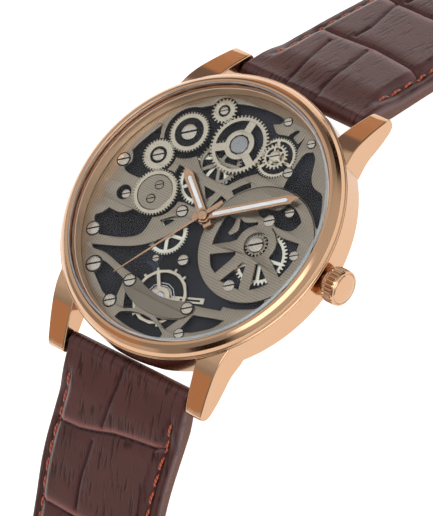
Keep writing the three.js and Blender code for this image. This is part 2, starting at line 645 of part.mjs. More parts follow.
// Blank curved plate over the balance, with a screw at each end.
function namePlate() {
  const banner = outline([
    [-5.3, -11.2], [-4.2, -11.2], [-2.1, -11.95], [0.3, -12.3], [2.7, -12.0], [4.6, -11.35], [5.6, -11.2],
    [6.4, -11.8], [6.2, -12.8], [5.1, -13.95], [2.8, -14.7], [0.3, -15.0], [-2.3, -14.7], [-4.7, -13.8],
    [-5.8, -12.9], [-6.0, -11.9],
  ]);
  const screws = [[-4.9, -12.1], [5.4, -12.1]].map((axis) => moved(screw(0.85, 6.1, 6.34, -25), axis));
  return join(slab(banner, 6.0, 6.2), ...screws);
}

function basePlate() {
  return cut(disc(18.5, 4.75, BASE_TOP, ROUND), disc(1.0, 4, 6));
}

// Movement below the dial: main plate with a slot for the stem, and the mainspring in its barrel.
function addMovement() {
  const slot = new THREE.BoxGeometry(6, 3.2, 4).translate(14.6, 0, 3.8);
  add('movement_plate', cut(disc(17.0, 1.2, 3.4, ROUND), slot), brass);
  add('mainspring_barrel', moved(spindle([
    [0, 3.45], [3.4, 3.45], [3.4, 4.65], [3.2, 4.65], [3.2, 3.65], [0, 3.65],
  ], 28), ratchetAxis), brass);
  add('mainspring', moved(mainspring(), ratchetAxis), steel);
}

function mainspring() {
  const turns = 4;
  const stepsPerTurn = 11;
  const count = turns * stepsPerTurn;
  const edge = (side) => Array.from({ length: count + 1 }, (_, step) => (
    polar([0, 0], 0.8 + 0.55 * step / stepsPerTurn + side * 0.07, 360 * step / stepsPerTurn)
  ));
  return slab(outline([...edge(1), ...edge(-1).reverse()]), 3.7, 4.55);
}

function addPlates() {
  add('base_plate', basePlate(), darkPlate);
  add('dial_plate', dialPlate(), plateMetal);
  add('fan_bridge', fanBridge(), plateMetal);
  add('name_plate', namePlate(), plateMetal);
}

// ---- Hands -------------------------------------------------------------------------------------

// Baton hand along +X with a pointed tip and a slot for its luminous filling.
function baton(length, width, slotFrom, slotWidth) {
  const half = width / 2;
  const hand = outline([
    [-1.6, -half * 0.8], [length - 1.3, -half], [length, 0], [length - 1.3, half], [-1.6, half * 0.8],
  ]);
  hand.holes.push(batonSlot(length, slotFrom, slotWidth, 0));
  return hand;
}

function batonSlot(length, from, width, inset) {
  const half = width / 2 - inset;
  const end = length - 1.55 - inset;
  return new THREE.Path(vectors([
    [from + inset, -half], [end - 0.3, -half], [end, 0], [end - 0.3, half], [from + inset, half],
  ]));
}

function addBaton({ name, length, width, level, angle, hubRadius, bore }) {
  const slotFrom = hubRadius + 0.35;
  const slotWidth = 0.62;
  const hub = disc(hubRadius, ...level, 18);
  const blade = slab(baton(length, width, slotFrom, slotWidth), ...level);
  const hand = cut(join(blade, hub), disc(bore, 5, 8, 16));
  add(`${name}_hand`, hand.rotateZ(degrees(angle)), roseGold);
  const filling = new THREE.Shape(batonSlot(length, slotFrom, slotWidth, 0.03).getPoints());
  add(`${name}_lume`, slab(filling, level[0], level[1] - 0.01).rotateZ(degrees(angle)), luminous);
}

function secondsHand() {
  const needle = outline([
    [-3.3, -0.3], [-1.0, -0.3], [-0.4, -0.18], [8, -0.14], [14.2, -0.06], [14.2, 0.06], [8, 0.14],
    [-0.4, 0.18], [-1.0, 0.3], [-3.3, 0.3],
  ]);
  const hub = spindle([[0, 7.12], [0.75, 7.12], [0.75, 7.3], [0.6, 7.36], [0, 7.38]], 14);
  return join(slab(needle, ...SECONDS_LEVEL), hub).rotateZ(degrees(SECONDS_ANGLE));
}

function addHands() {
  addBaton({
    name: 'hour', length: 8.7, width: 1.45, level: HOUR_LEVEL, angle: HOUR_ANGLE, hubRadius: 1.15,
    bore: 0.72,
  });
  addBaton({
    name: 'minute', length: 14, width: 1.4, level: MINUTE_LEVEL, angle: MINUTE_ANGLE, hubRadius: 1,
    bore: 0.42,
  });
  add('seconds_hand', secondsHand(), roseGold);
  add('hour_pipe', ring(0.95, 0.72, 5.04, HOUR_LEVEL[0] - 0.01, SMALL_ROUND), brass);
  add('minute_pipe', ring(0.66, 0.42, 5.04, MINUTE_LEVEL[0] - 0.01, 16), brass);
  add('seconds_post', disc(0.36, 5.04, SECONDS_LEVEL[0] - 0.01, 14), steel);
}

// ---- Strap -------------------------------------------------------------------------------------

// Place on the strap's centre line: distance out from the dial axis, height and downward slope.
function strapPlace(along, straight) {
  const bendLength = STRAP_BEND_RADIUS * degrees(STRAP_SLOPE);
  const slope = degrees(STRAP_SLOPE);
  const onStraight = Math.min(along, straight);
  const inBend = Math.min(Math.max(along - straight, 0), bendLength);
  const onFlat = Math.max(along - straight - bendLength, 0);
  const angle = slope - inBend / STRAP_BEND_RADIUS;
  const bendOut = STRAP_BEND_RADIUS * (Math.sin(slope) - Math.sin(angle));
  const bendDown = STRAP_BEND_RADIUS * (Math.cos(angle) - Math.cos(slope));
  return {
    y: SPRING_BAR_Y + onStraight * Math.cos(slope) + bendOut + onFlat,
    z: SPRING_BAR_Z - onStraight * Math.sin(slope) - bendDown,
    angle,
  };
}

function strapThickness(along) {
  const share = Math.min(along / STRAP_TAPER_LENGTH, 1);
  return STRAP_THICK + (STRAP_THIN - STRAP_THICK) * share;
}

// A strap half as a loft of eight-cornered sections through its stations.
function strapLoft(stations, straight, length) {
  const positions = [];
  const indices = [];
  const corner = 0.6; // of the section's chamfered corners
  for (const { along, narrowing = 1 } of stations) {
    const { y, z, angle } = strapPlace(along, straight);
    const width = STRAP_WIDTH_AT_LUGS + (STRAP_WIDTH_AT_END - STRAP_WIDTH_AT_LUGS) * along / length;
    const halfWidth = width / 2 * narrowing;
    const half = strapThickness(along) / 2;
    const section = [
      [-halfWidth, -half + corner], [-halfWidth + corner, -half], [halfWidth - corner, -half],
      [halfWidth, -half + corner], [halfWidth, half - corner], [halfWidth - corner, half],
      [-halfWidth + corner, half], [-halfWidth, half - corner],
    ];
    for (const [across, up] of section) {
      positions.push(across, y + up * Math.sin(angle), z + up * Math.cos(angle));
    }
  }
  const sides = 8;
  for (let ring = 0; ring < stations.length - 1; ring += 1) {
    for (let side = 0; side < sides; side += 1) {
      const here = ring * sides + side;
      const next = ring * sides + (side + 1) % sides;
      indices.push(here, here + sides, next, next, here + sides, next + sides);
    }
  }
  const last = (stations.length - 1) * sides;
  for (let side = 1; side < sides - 1; side += 1) {
    indices.push(0, side, side + 1);
    indices.push(last, last + side + 1, last + side);
  }
  const geometry = new THREE.BufferGeometry();
  geometry.setAttribute('position', new THREE.Float32BufferAttribute(positions, 3));
  geometry.setIndex(indices);
  return geometry;
}

const bendStations = (straight) => [0, 12, 25, straight, ...[1, 2, 3, 4].map((step) => (
  straight + STRAP_BEND_RADIUS * degrees(STRAP_SLOPE) * step / 4
))].map((along) => ({ along }));

// The eye that wraps a spring bar.
function eye(radius, width, y, z) {
  return rod(radius, -width / 2, width / 2, y, z, 24);
}

function shortStrap() {
  const stations = [...bendStations(STRAP_SHORT_STRAIGHT), { along: STRAP_SHORT_LENGTH }];
  const body = strapLoft(stations, STRAP_SHORT_STRAIGHT, STRAP_SHORT_LENGTH);
  const end = strapPlace(STRAP_SHORT_LENGTH, STRAP_SHORT_STRAIGHT);
  const lugEye = eye(STRAP_THICK / 2, STRAP_WIDTH_AT_LUGS, SPRING_BAR_Y, SPRING_BAR_Z);
  const buckleEye = eye(STRAP_THIN / 2, STRAP_WIDTH_AT_END, end.y, end.z);
  const bores = [
    rod(SPRING_BAR_RADIUS + FIT, -12, 12, SPRING_BAR_Y, SPRING_BAR_Z),
    rod(0.6 + FIT, -12, 12, end.y, end.z),
  ];
  const tongueSlot = new THREE.BoxGeometry(3.2, 8, 5).translate(0, end.y, end.z);
  return cut(join(body, lugEye, buckleEye), ...bores, tongueSlot);
}

function longStrap() {
  const tip = [[105, 1], [109, 0.9], [112, 0.7], [114, 0.45], [115, 0.2]];
  const stations = [
    ...bendStations(STRAP_LONG_STRAIGHT), ...tip.map(([along, narrowing]) => ({ along, narrowing })),
  ];
  const body = strapLoft(stations, STRAP_LONG_STRAIGHT, STRAP_LONG_LENGTH);
  const lugEye = eye(STRAP_THICK / 2, STRAP_WIDTH_AT_LUGS, SPRING_BAR_Y, SPRING_BAR_Z);
  const bore = rod(SPRING_BAR_RADIUS + FIT, -12, 12, SPRING_BAR_Y, SPRING_BAR_Z);
  const holes = [65, 71.5, 78, 84.5, 91, 97.5].map((along) => {
    const { y, z } = strapPlace(along, STRAP_LONG_STRAIGHT);
    return moved(disc(0.95, z - 3, z + 3, 10), [0, y]);
  });
  return mirrored(cut(join(body, lugEye), bore, ...holes), 1, -1);
}

// A flat leather loop round both layers of the strap.
function keeper(along) {
  const { y, z } = strapPlace(along, STRAP_SHORT_STRAIGHT);
  const halfWidth = STRAP_WIDTH_AT_LUGS / 2 - 0.3;
  const low = -STRAP_THIN / 2 - FIT;
  const high = STRAP_THIN * 1.5 + 0.5;
  const box = (wall, depth) => {
    const block = new THREE.BoxGeometry(2 * (halfWidth + wall), depth, high - low + 2 * wall);
    return block.translate(0, 0, (low + high) / 2);
  };
  return moved(cut(box(KEEPER_WALL, KEEPER_BREADTH), box(0, KEEPER_BREADTH + 2)), [0, y], z);
}

// ---- Buckle ------------------------------------------------------------------------------------

function addBuckle() {
  const { y, z } = strapPlace(STRAP_SHORT_LENGTH, STRAP_SHORT_STRAIGHT);
  const half = BUCKLE_THICKNESS / 2;
  const inner = STRAP_WIDTH_AT_END / 2 + 0.4;
  const outer = inner + 1.8;
  const front = BUCKLE_LENGTH;
  const frame = outline([
    [-outer, -half], [-inner, -half], [-inner, front - 2.4], [inner, front - 2.4], [inner, -half],
    [outer, -half], [outer, front - 2.2], [outer - 0.7, front - 0.6], [outer - 2.2, front],
    [2.2 - outer, front],
    [0.7 - outer, front - 0.6], [-outer, front - 2.2],
  ]);
  const pivotHole = rod(LUG_PIVOT_RADIUS + FIT, -outer - 1, outer + 1, 0, 0, 12);
  add('buckle_frame', moved(cut(slab(frame, -half, half), pivotHole), [0, y], z), roseGold);
  add('buckle_bar', pivotedBar(BUCKLE_BAR_RADIUS, inner, y, z), steel);

  const profile = [
    [0.4, -0.3], [6, 0.25], [11.8, half + 0.08], [front + 0.3, half + 0.08], [front + 0.4, half + 0.6],
    [12, half + 1.1], [6, 1.4], [0.4, 1.1],
  ];
  const sleeve = rod(1.15, -1.1, 1.1, 0, 0);
  const tongue = cut(join(sideSlab(profile, -1.1, 1.1), sleeve), rod(BUCKLE_BAR_RADIUS + FIT, -3, 3, 0, 0));
  add('buckle_tongue', moved(tongue, [0, y], z), roseGold);
}

function addStrap() {
  add('strap_12', shortStrap(), leather);
  add('strap_6', longStrap(), leather);
  add('free_keeper', keeper(FREE_KEEPER_ALONG), leather);
  add('fixed_keeper', keeper(FIXED_KEEPER_ALONG), leather);
  addBuckle();
}

addCase();
addCrown();
addPlates();
addMovement();
addWindingWheels();
addGreatWheel();
addLowerWheels();
addBalance();
addHands();
addStrap();

export default model;
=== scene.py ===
"""Looks of the skeleton wristwatch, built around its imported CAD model.

Sizes are millimetres in the named constants and metres in Blender, in the CAD's own frame: +X to the
crown, +Y to 12 o'clock, +Z out of the dial, with the origin on the case back's outer face.
"""

import json
import math
import random

import bmesh
import bpy
import numpy as np
from mathutils import Matrix, Vector
from mathutils.geometry import tessellate_polygon

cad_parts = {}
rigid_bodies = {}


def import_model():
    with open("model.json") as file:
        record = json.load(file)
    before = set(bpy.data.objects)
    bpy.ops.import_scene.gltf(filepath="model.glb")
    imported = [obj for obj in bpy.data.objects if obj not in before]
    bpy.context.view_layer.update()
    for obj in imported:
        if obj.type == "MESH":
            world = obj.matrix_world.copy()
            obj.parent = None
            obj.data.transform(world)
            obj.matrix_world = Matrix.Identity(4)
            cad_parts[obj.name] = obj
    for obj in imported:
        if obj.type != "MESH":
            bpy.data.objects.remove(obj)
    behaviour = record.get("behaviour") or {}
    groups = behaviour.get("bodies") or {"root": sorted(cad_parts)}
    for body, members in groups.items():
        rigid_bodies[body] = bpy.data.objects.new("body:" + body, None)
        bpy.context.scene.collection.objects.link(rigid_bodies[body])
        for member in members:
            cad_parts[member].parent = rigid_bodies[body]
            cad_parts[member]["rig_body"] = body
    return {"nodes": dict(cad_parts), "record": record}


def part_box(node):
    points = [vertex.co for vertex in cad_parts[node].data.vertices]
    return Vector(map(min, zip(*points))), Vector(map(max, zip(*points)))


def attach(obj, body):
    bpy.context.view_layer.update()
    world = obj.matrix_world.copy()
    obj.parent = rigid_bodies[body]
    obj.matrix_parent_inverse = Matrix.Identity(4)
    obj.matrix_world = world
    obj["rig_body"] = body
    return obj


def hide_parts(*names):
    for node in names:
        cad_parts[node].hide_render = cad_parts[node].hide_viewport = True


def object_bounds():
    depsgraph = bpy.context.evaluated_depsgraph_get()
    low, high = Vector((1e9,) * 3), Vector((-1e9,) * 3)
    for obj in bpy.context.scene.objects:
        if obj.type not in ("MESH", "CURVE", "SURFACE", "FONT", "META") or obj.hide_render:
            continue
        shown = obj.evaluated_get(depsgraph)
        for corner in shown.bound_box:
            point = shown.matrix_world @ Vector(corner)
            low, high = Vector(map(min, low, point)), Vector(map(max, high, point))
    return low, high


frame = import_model()
cad_low, cad_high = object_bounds()

MM = 0.001
SHARP_ANGLE = math.radians(35)
WELD_DISTANCE = 1e-6  # metres

# ---- Camera and light ----

CAMERA_PLACE = (0.75009, -0.21583, 1.08321)
CAMERA_AZIMUTH = 74.143
CAMERA_ELEVATION = 54.279
CAMERA_ROLL = -44.567
CAMERA_LENS = 694.84
SENSOR_WIDTH = 36

FLOOR_SIZE = 6.0
WORLD_LIGHT = (0.44, 0.44, 0.44)
# Soft boxes and cards round the watch: direction, angular radius and softness in degrees, and light.
STUDIO = [
    ((-0.56, 0.16, 0.81), 24, 24, (0.88, 0.88, 0.88)),
    ((-0.50, 0.84, 0.10), 32, 12, (0.26, 0.23, 0.23)),
    ((-0.56, 0.82, 0.07), 9, 6, (0.72, 0.45, 0.29)),
    ((-0.45, -0.88, 0.10), 13, 7, (0.86, 0.83, 0.81)),
    ((-0.56, -0.73, 0.38), 9, 6, (0.72, 0.44, 0.28)),
    ((0.70, 0.10, 0.45), 42, 16, (0.80, 0.79, 0.78)),
    ((0.45, -0.20, 0.87), 16, 10, (3.2, 3.2, 3.2)),
    ((0.30, -0.87, 0.39), 8, 8, (0.02, 0.012, 0.01)),
    ((0.17, 0.97, 0.16), 8, 9, (0.02, 0.012, 0.01)),
]

# ---- Case, in millimetres ----

CASE_RADIUS = 21
BACK_SEAM = 2.3
BEZEL_SEAM = 6.78
LUG_INNER_X = 11
LUG_PLAN = [(13, 15.25), (15, 15.07), (24.5, 13.75)]
LUG_PROFILE = [
    (14.0, 6.7), (14.0, 2.4), (17.0, 2.34), (20.5, 0.95), (22.6, 0.4), (23.5, 0.45), (23.95, 1.0),
    (23.95, 1.75), (23.4, 2.35), (21.0, 4.15), (18.6, 5.7), (16.8, 6.45), (15.5, 6.7),
]
SPRING_BAR_Y = 22.0
SPRING_BAR_Z = 1.6
RECESS_RADIUS = 2.2
BORE_RADIUS = 18.75
CRYSTAL_RADIUS = 19.05
CRYSTAL_TOP = 8.88
CROWN_Z = 4.25
CROWN_RADIUS = 2.52
CROWN_FLUTES = 26
FLUTE_LOW = 21.86
FLUTE_HIGH = 23.45
FLUTE_DEPTH = 0.3
TURNED_SEGMENTS = 256

# ---- Dial, in millimetres: (low, high) levels above the case back, then screws as (x, y, radius) ----

BASE_RADII = (0.98, 18.5)
BASE_LEVEL = (4.76, 4.98)
ARM_LEVEL = (5.03, 5.11)
BALANCE_LEVEL = (5.3, 5.5)
DRIVEN_LEVELS = [(5.42, 5.56), (5.72, 5.98)]
FAN_WHEEL_LEVEL = (5.62, 5.84)
PLATE_LEVEL = (5.6, 5.95)
BRIDGE_LEVEL = (5.62, 5.97)
UPPER_LEVEL = (5.72, 5.98)
NAME_LEVEL = (6.0, 6.2)
WINDING_LEVEL = (6.0, 6.22)
SECONDS_LEVEL = (7.12, 7.24)
LOW_WHEELS = [
    ("centre_wheel", (5.06, 5.2)), ("third_wheel", (5.32, 5.46)), ("fourth_wheel", (5.3, 5.46)),
    ("barrel_wheel", (5.28, 5.46)),
]
RING_FINISHED_WHEELS = [
    ("idler_wheel", WINDING_LEVEL), ("ratchet_wheel", WINDING_LEVEL), ("great_wheel", UPPER_LEVEL),
    ("setting_pinion", UPPER_LEVEL),
]
CROWN_WHEEL_CENTRE = (-9.2, 0.2)
RIB_PITCH = 0.38
PLATE_SCREWS = [
    (-16.6, 2.4, 0.9), (-14.7, -7.9, 0.95), (-11.5, -12.2, 1.1), (-6.1, -15.7, 0.9), (6.3, -15.6, 0.7),
    (15.3, 0.7, 0.7), (9.0, -6.8, 0.85), (-3.9, -0.5, 0.8), (7.3, 10.5, 0.7), (11.0, 5.7, 0.7),
    (8.9, 3.5, 0.85), (2.9, 16.8, 0.6), (8.0, 15.4, 0.6),
]
BASE_SCREWS = [(0.1, -6.3, 0.8), (-3.8, -7.7, 0.5), (-13.6, -1.6, 0.65)]
NAME_SCREWS = [(-4.9, -12.1, 0.85), (5.4, -12.1, 0.85)]
WHEEL_SCREWS = [
    ("idler_screw", 0.9), ("ratchet_screw", 1.2), ("setting_pinion_screw", 0.62), ("fan_screw", 1.12),
]
SCREW_SLOT_ANGLE = math.radians(35)
SCREW_SLOT_DEPTH = 0.09
SCREW_SLOT_SHARE = 0.12  # half width over the head's radius
SCREW_CHAMFER_SHARE = 0.14
SCREW_SHADOW_SHARE = 1.17

# ---- Strap, in millimetres: along it from the spring bar, across it to the crown's side ----

STRAP_SLOPE = math.radians(39.5)
STRAP_BEND_RADIUS = 30
STRAP_WIDTH_AT_LUGS = 21.4
STRAP_WIDTH_AT_END = 20
STRAP_THICK = 3.8
STRAP_THIN = 2.6
NOSE_SHARE = 0.68  # thickness left around the spring bars
NOSE_LENGTH = 6
STRAP_TAPER_LENGTH = 45
STRAP_STEP = 0.22
EDGE_ROUND = 0.45
MARGIN_WIDTH = 2.9
ROW_DENTS = [(0.38, 0.24), (0.16, 1.1)]  # depth and width of a narrow groove in a wide hollow
SPLIT_DENTS = [(0.2, 0.2), (0.07, 0.7)]
STITCH_DENT = (0.2, 0.32)
STITCH_INSET = 1.5
STITCH_PITCH = 2.7
STITCH_LENGTH = 2.2
STITCH_RADIUS = 0.2
SHORT_STRAIGHT = 38
SHORT_LENGTH = 78
SHORT_SWAY = -0.6
SHORT_SEED = 12
SHORT_STITCHES = (4.4, 72)
LONG_STRAIGHT = 40
LONG_LENGTH = 115
LONG_SWAY = -2.1
LONG_SEED = 6
LONG_STITCHES = (4.0, 100)
POINT_LENGTH = 11
HOLES = (65, 71.5, 78, 84.5, 91, 97.5)
HOLE_RADIUS = 0.95
SLOT_HALF = (1.6, 4)
KEEPER_WALL = 1.1
ROW_POINTS = (-9.0, -4.5, 0.0, 4.5, 9.0)
SPLIT_PLACES = (-4.5, -2.5, 0.0, 2.5, 4.5)
# Lines between the scales near the case, as (along, across) points: rows run across, splits along.
SHORT_ROWS = [[(13.2, -9.0), (13.4, -4.8), (14.0, 0.9), (13.5, 6.9), (13.2, 9.0)]]
SHORT_SPLITS = [
    [(-1.9, -2.6), (0.6, -3.4), (3.1, -3.9), (7.1, -4.7), (11.2, -5.3)],
    [(-1.9, 3.0), (1.4, 1.6), (4.6, 1.1), (8.0, 0.8), (12.6, 0.2)],
    [(14.6, -3.5), (18.0, -3.5), (22.2, -4.5), (26.0, -5.5)],
]
LONG_ROWS = [[(11.2, -9.2), (11.0, -4.9), (10.3, -2.1), (9.4, 0.9), (8.9, 4.2), (8.4, 8.7), (8.3, 9.2)]]
LONG_SPLITS = [
    [(-1.9, -0.4), (1.8, -0.8), (4.7, -1.1), (9.0, -1.4)],
    [(11.6, -2.2), (14.5, -2.2), (17.4, -2.5), (22.2, -2.5)],
]


# ---- Small tools ----

def mesh_of(name, vertices, faces):
    """A mesh of points in millimetres, with its faces turned outwards and shaded smooth."""
    mesh = bpy.data.meshes.new(name)
    mesh.from_pydata([tuple(v) for v in np.asarray(vertices, float) * MM], [], faces)
    return cleaned(mesh)


def smoothed(mesh):
    """Smooth shading, with its clear edges kept sharp."""
    mesh.shade_smooth()
    mesh.set_sharp_from_angle(angle=SHARP_ANGLE)
    return mesh


def cleaned(mesh):
    """Welds a mesh, turns its faces outwards and shades it smooth."""
    shape = bmesh.new()
    shape.from_mesh(mesh)
    bmesh.ops.remove_doubles(shape, verts=shape.verts, dist=WELD_DISTANCE)
    bmesh.ops.recalc_face_normals(shape, faces=shape.faces)
    shape.to_mesh(mesh)
    shape.free()
    return smoothed(mesh)


def place(name, mesh, body, material, slot, replaced=()):
    """Adds a piece that rides on a CAD body and stands for the CAD nodes it replaces."""
    piece = bpy.data.objects.new(name, mesh)
    bpy.context.scene.collection.objects.link(piece)
    for one in material if isinstance(material, list) else [material]:
        mesh.materials.append(one)
    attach(piece, body)
    if replaced:
        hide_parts(*replaced)
    return piece


def place_finished(node_name, mesh, material, slot):
    """Adds a mesh in the place of one CAD node, on the same body."""
    body = frame["nodes"][node_name]["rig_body"]
    return place(node_name + "_finished", mesh, body, material, slot, [node_name])


def bevelled(piece, width, segments, angle):
    """Rounds a piece's edges that are sharper than an angle in degrees."""
    bevel = piece.modifiers.new("edges", "BEVEL")
    bevel.width = width * MM
    bevel.segments = segments
    bevel.limit_method = "ANGLE"
    bevel.angle_limit = math.radians(angle)


def evaluated_mesh(piece):
    """The piece's mesh with its modifiers applied."""
    graph = bpy.context.evaluated_depsgraph_get()
    return bpy.data.meshes.new_from_object(piece.evaluated_get(graph))


def combined(mesh, *steps):
    """Joins meshes to a mesh or cuts them from it. A step is (other mesh, "UNION" or "DIFFERENCE")."""
    collection = bpy.context.scene.collection
    base = bpy.data.objects.new("base", mesh)
    collection.objects.link(base)
    tools = []
    for other, operation in steps:
        tool = bpy.data.objects.new("tool", other)
        collection.objects.link(tool)
        tools.append(tool)
        modifier = base.modifiers.new("join", "BOOLEAN")
        modifier.operation = operation
        modifier.object = tool
        modifier.solver = "EXACT"
    result = evaluated_mesh(base)
    for used in [base, *tools]:
        bpy.data.objects.remove(used)
    return cleaned(result)


def joined(meshes):
    """One mesh of several."""
    shape = bmesh.new()
    for mesh in meshes:
        shape.from_mesh(mesh)
    result = bpy.data.meshes.new("joined")
    shape.to_mesh(result)
    shape.free()
    return smoothed(result)


def rounded(points, radius, steps=4, closed=True):
    """A 2-D outline with each corner turned into a small arc."""
    result = []
    count = len(points)
    for i, corner in enumerate(points):
        if not closed and i in (0, count - 1):
            result.append(corner)
            continue
        here = np.array(corner, float)
        back = np.array(points[i - 1], float) - here
        ahead = np.array(points[(i + 1) % count], float) - here
        reach = min(radius, 0.45 * np.linalg.norm(back), 0.45 * np.linalg.norm(ahead))
        start = here + back / np.linalg.norm(back) * reach
        end = here + ahead / np.linalg.norm(ahead) * reach
        for step in range(steps + 1):
            t = step / steps
            result.append(tuple((1 - t) ** 2 * start + 2 * t * (1 - t) * here + t ** 2 * end))
    return result


def turned(profile, segments=TURNED_SEGMENTS, closed=True, radius_at=None):
    """A mesh turned about Z from (radius, height) points. An open profile starts and ends on the axis.

    radius_at(radius, height, angle) may change the radius round the turn, as flutes do.
    """
    vertices, faces, rings = [], [], []
    for radius, height in profile:
        if radius < 1e-9:
            rings.append([len(vertices)] * segments)
            vertices.append((0, 0, height))
            continue
        rings.append(list(range(len(vertices), len(vertices) + segments)))
        for i in range(segments):
            angle = 2 * math.pi * i / segments
            here = radius_at(radius, height, angle) if radius_at else radius
            vertices.append((here * math.cos(angle), here * math.sin(angle), height))
    pairs = list(zip(rings, rings[1:])) + ([(rings[-1], rings[0])] if closed else [])
    for low, high in pairs:
        for i in range(segments):
            j = (i + 1) % segments
            corners = [low[i], low[j], high[j], high[i]]
            face = [v for k, v in enumerate(corners) if v != corners[k - 1]]
            if len(face) > 2:
                faces.append(face)
    return mesh_of("turned", vertices, faces)


def between(first, last, name):
    """A closed mesh between two outlines of as many points."""
    count = len(first)
    faces = [list(range(count)), list(range(count, 2 * count))]
    faces += [[i, (i + 1) % count, (i + 1) % count + count, i + count] for i in range(count)]
    return mesh_of(name, [*first, *last], faces)


def box_outline(half_x, half_y, y=0.0):
    return [(-half_x, y - half_y), (half_x, y - half_y), (half_x, y + half_y), (-half_x, y + half_y)]


def prism(outline, low, high):
    """An outline in plan between two heights."""
    return between([(x, y, low) for x, y in outline], [(x, y, high) for x, y in outline], "prism")


def drum(radius, low, high, segments):
    """A round bar along Z."""
    return turned([(0, low), (radius, low), (radius, high), (0, high)], segments, closed=False)


def moved(mesh, matrix):
    mesh.transform(matrix)
    return mesh


def shift(x, y, z=0.0):
    return Matrix.Translation(Vector((x, y, z)) * MM)


# ---- Material tools ----

WAVE_PERIOD = math.pi / 10  # length of one band of Blender's wave texture at scale 1


def node(tree, kind, inputs=None, **settings):
    """Adds a shader node. An input is a plain value, or another node's socket to link."""
    made = tree.nodes.new(kind)
    for key, value in settings.items():
        setattr(made, key, value)
    for key, value in (inputs or {}).items():
        if isinstance(value, bpy.types.NodeSocket):
            tree.links.new(value, made.inputs[key])
        else:
            made.inputs[key].default_value = value
    return made


def principled(name, **inputs):
    """A new material with a Principled shader; returns the material, its tree and the shader."""
    material = bpy.data.materials.new(name)
    material.use_nodes = True
    tree = material.node_tree
    shader = tree.nodes["Principled BSDF"]
    for key, value in inputs.items():
        shader.inputs[key.replace("_", " ")].default_value = value
    return material, tree, shader


def rgba(red, green, blue):
    return (red, green, blue, 1.0)


def place_coordinates(tree, centre=(0, 0, 0), turn=0.0, scale=(1, 1, 1)):
    """Object coordinates about a centre in millimetres, turned about Z, then stretched."""
    source = node(tree, "ShaderNodeTexCoord").outputs["Object"]
    about = node(tree, "ShaderNodeMapping", {
        "Vector": source, "Location": Vector(centre) * MM, "Rotation": (0, 0, turn),
    }, vector_type="TEXTURE")
    return node(tree, "ShaderNodeMapping", {"Vector": about.outputs[0], "Scale": scale}).outputs[0]


def noise(tree, vector, scale, detail):
    made = node(tree, "ShaderNodeTexNoise", {
        "Vector": vector, "Scale": scale, "Detail": detail, "Roughness": 0.55,
    })
    return made.outputs["Fac"]


def calculated(tree, first, operation, second):
    return node(tree, "ShaderNodeMath", {0: first, 1: second}, operation=operation).outputs[0]


def remapped(tree, value, low, high, from_low=0.3, from_high=0.7):
    made = node(tree, "ShaderNodeMapRange", {
        "Value": value, "From Min": from_low, "From Max": from_high, "To Min": low, "To Max": high,
    })
    return made.outputs["Result"]


def mixed(tree, factor, first, second):
    made = node(tree, "ShaderNodeMix", {"Factor": factor, 6: first, 7: second}, data_type="RGBA")
    return made.outputs[2]


def surface(tree, shader, colour, roughness):
    tree.links.new(colour, shader.inputs["Base Color"])
    tree.links.new(roughness, shader.inputs["Roughness"])


def bump(tree, shader, height, strength, distance):
    inputs = {"Height": height, "Strength": strength, "Distance": distance * MM}
    made = node(tree, "ShaderNodeBump", inputs)
    tree.links.new(made.outputs["Normal"], shader.inputs["Normal"])


def darker(colour, share):
    return rgba(*(c * share for c in colour[:3]))


def polished_metal(name, colour, roughness=0.13):
    """Polished plating: slight cloudiness, fine random scratches and a little colour drift."""
    material, tree, shader = principled(name, Metallic=1.0)
    vector = place_coordinates(tree)
    cloud = noise(tree, vector, 160, 3)
    fine = noise(tree, place_coordinates(tree, turn=0.6, scale=(1, 0.08, 1)), 9000, 2)
    surface(tree, shader, mixed(tree, cloud, darker(colour, 0.95), colour),
            remapped(tree, fine, roughness * 0.7, roughness * 1.4))
    bump(tree, shader, fine, 0.05, 0.004)
    return material


def grained_metal(name, colour, turn=0.0, roughness=0.34, ribs=0.0, depth=0.01, turn_above=None):
    """Straight-grained plating, with optional fine ribs of the given pitch in millimetres.

    The ribs run the other way above the line y = turn_above.
    """
    material, tree, shader = principled(name, Metallic=1.0)
    grain = noise(tree, place_coordinates(tree, turn=turn, scale=(1, 0.02, 1)), 14000, 3)
    cloud = noise(tree, place_coordinates(tree), 260, 3)
    height = grain
    tone = grain
    if ribs:
        vector = place_coordinates(tree, turn=turn)
        if turn_above is not None:
            y = node(tree, "ShaderNodeSeparateXYZ", {0: place_coordinates(tree)}).outputs["Y"]
            above = calculated(tree, y, "GREATER_THAN", turn_above * MM)
            vector = mixed(tree, above, vector, place_coordinates(tree, turn=turn + math.pi / 2))
        wave = node(tree, "ShaderNodeTexWave", {
            "Vector": vector, "Scale": WAVE_PERIOD / (ribs * MM), "Distortion": 0.0,
        }, wave_type="BANDS", bands_direction="X", wave_profile="SIN").outputs["Fac"]
        tone = calculated(tree, grain, "MULTIPLY", wave)
        height = calculated(tree, wave, "ADD", grain)
    light = mixed(tree, remapped(tree, tone, 0, 1, 0.05, 0.5), darker(colour, 0.8), darker(colour, 1.14))
    surface(tree, shader, mixed(tree, remapped(tree, cloud, 0, 0.3), light, colour),
            remapped(tree, grain, roughness * 0.8, roughness * 1.25))
    bump(tree, shader, height, 0.5, depth)
    return material


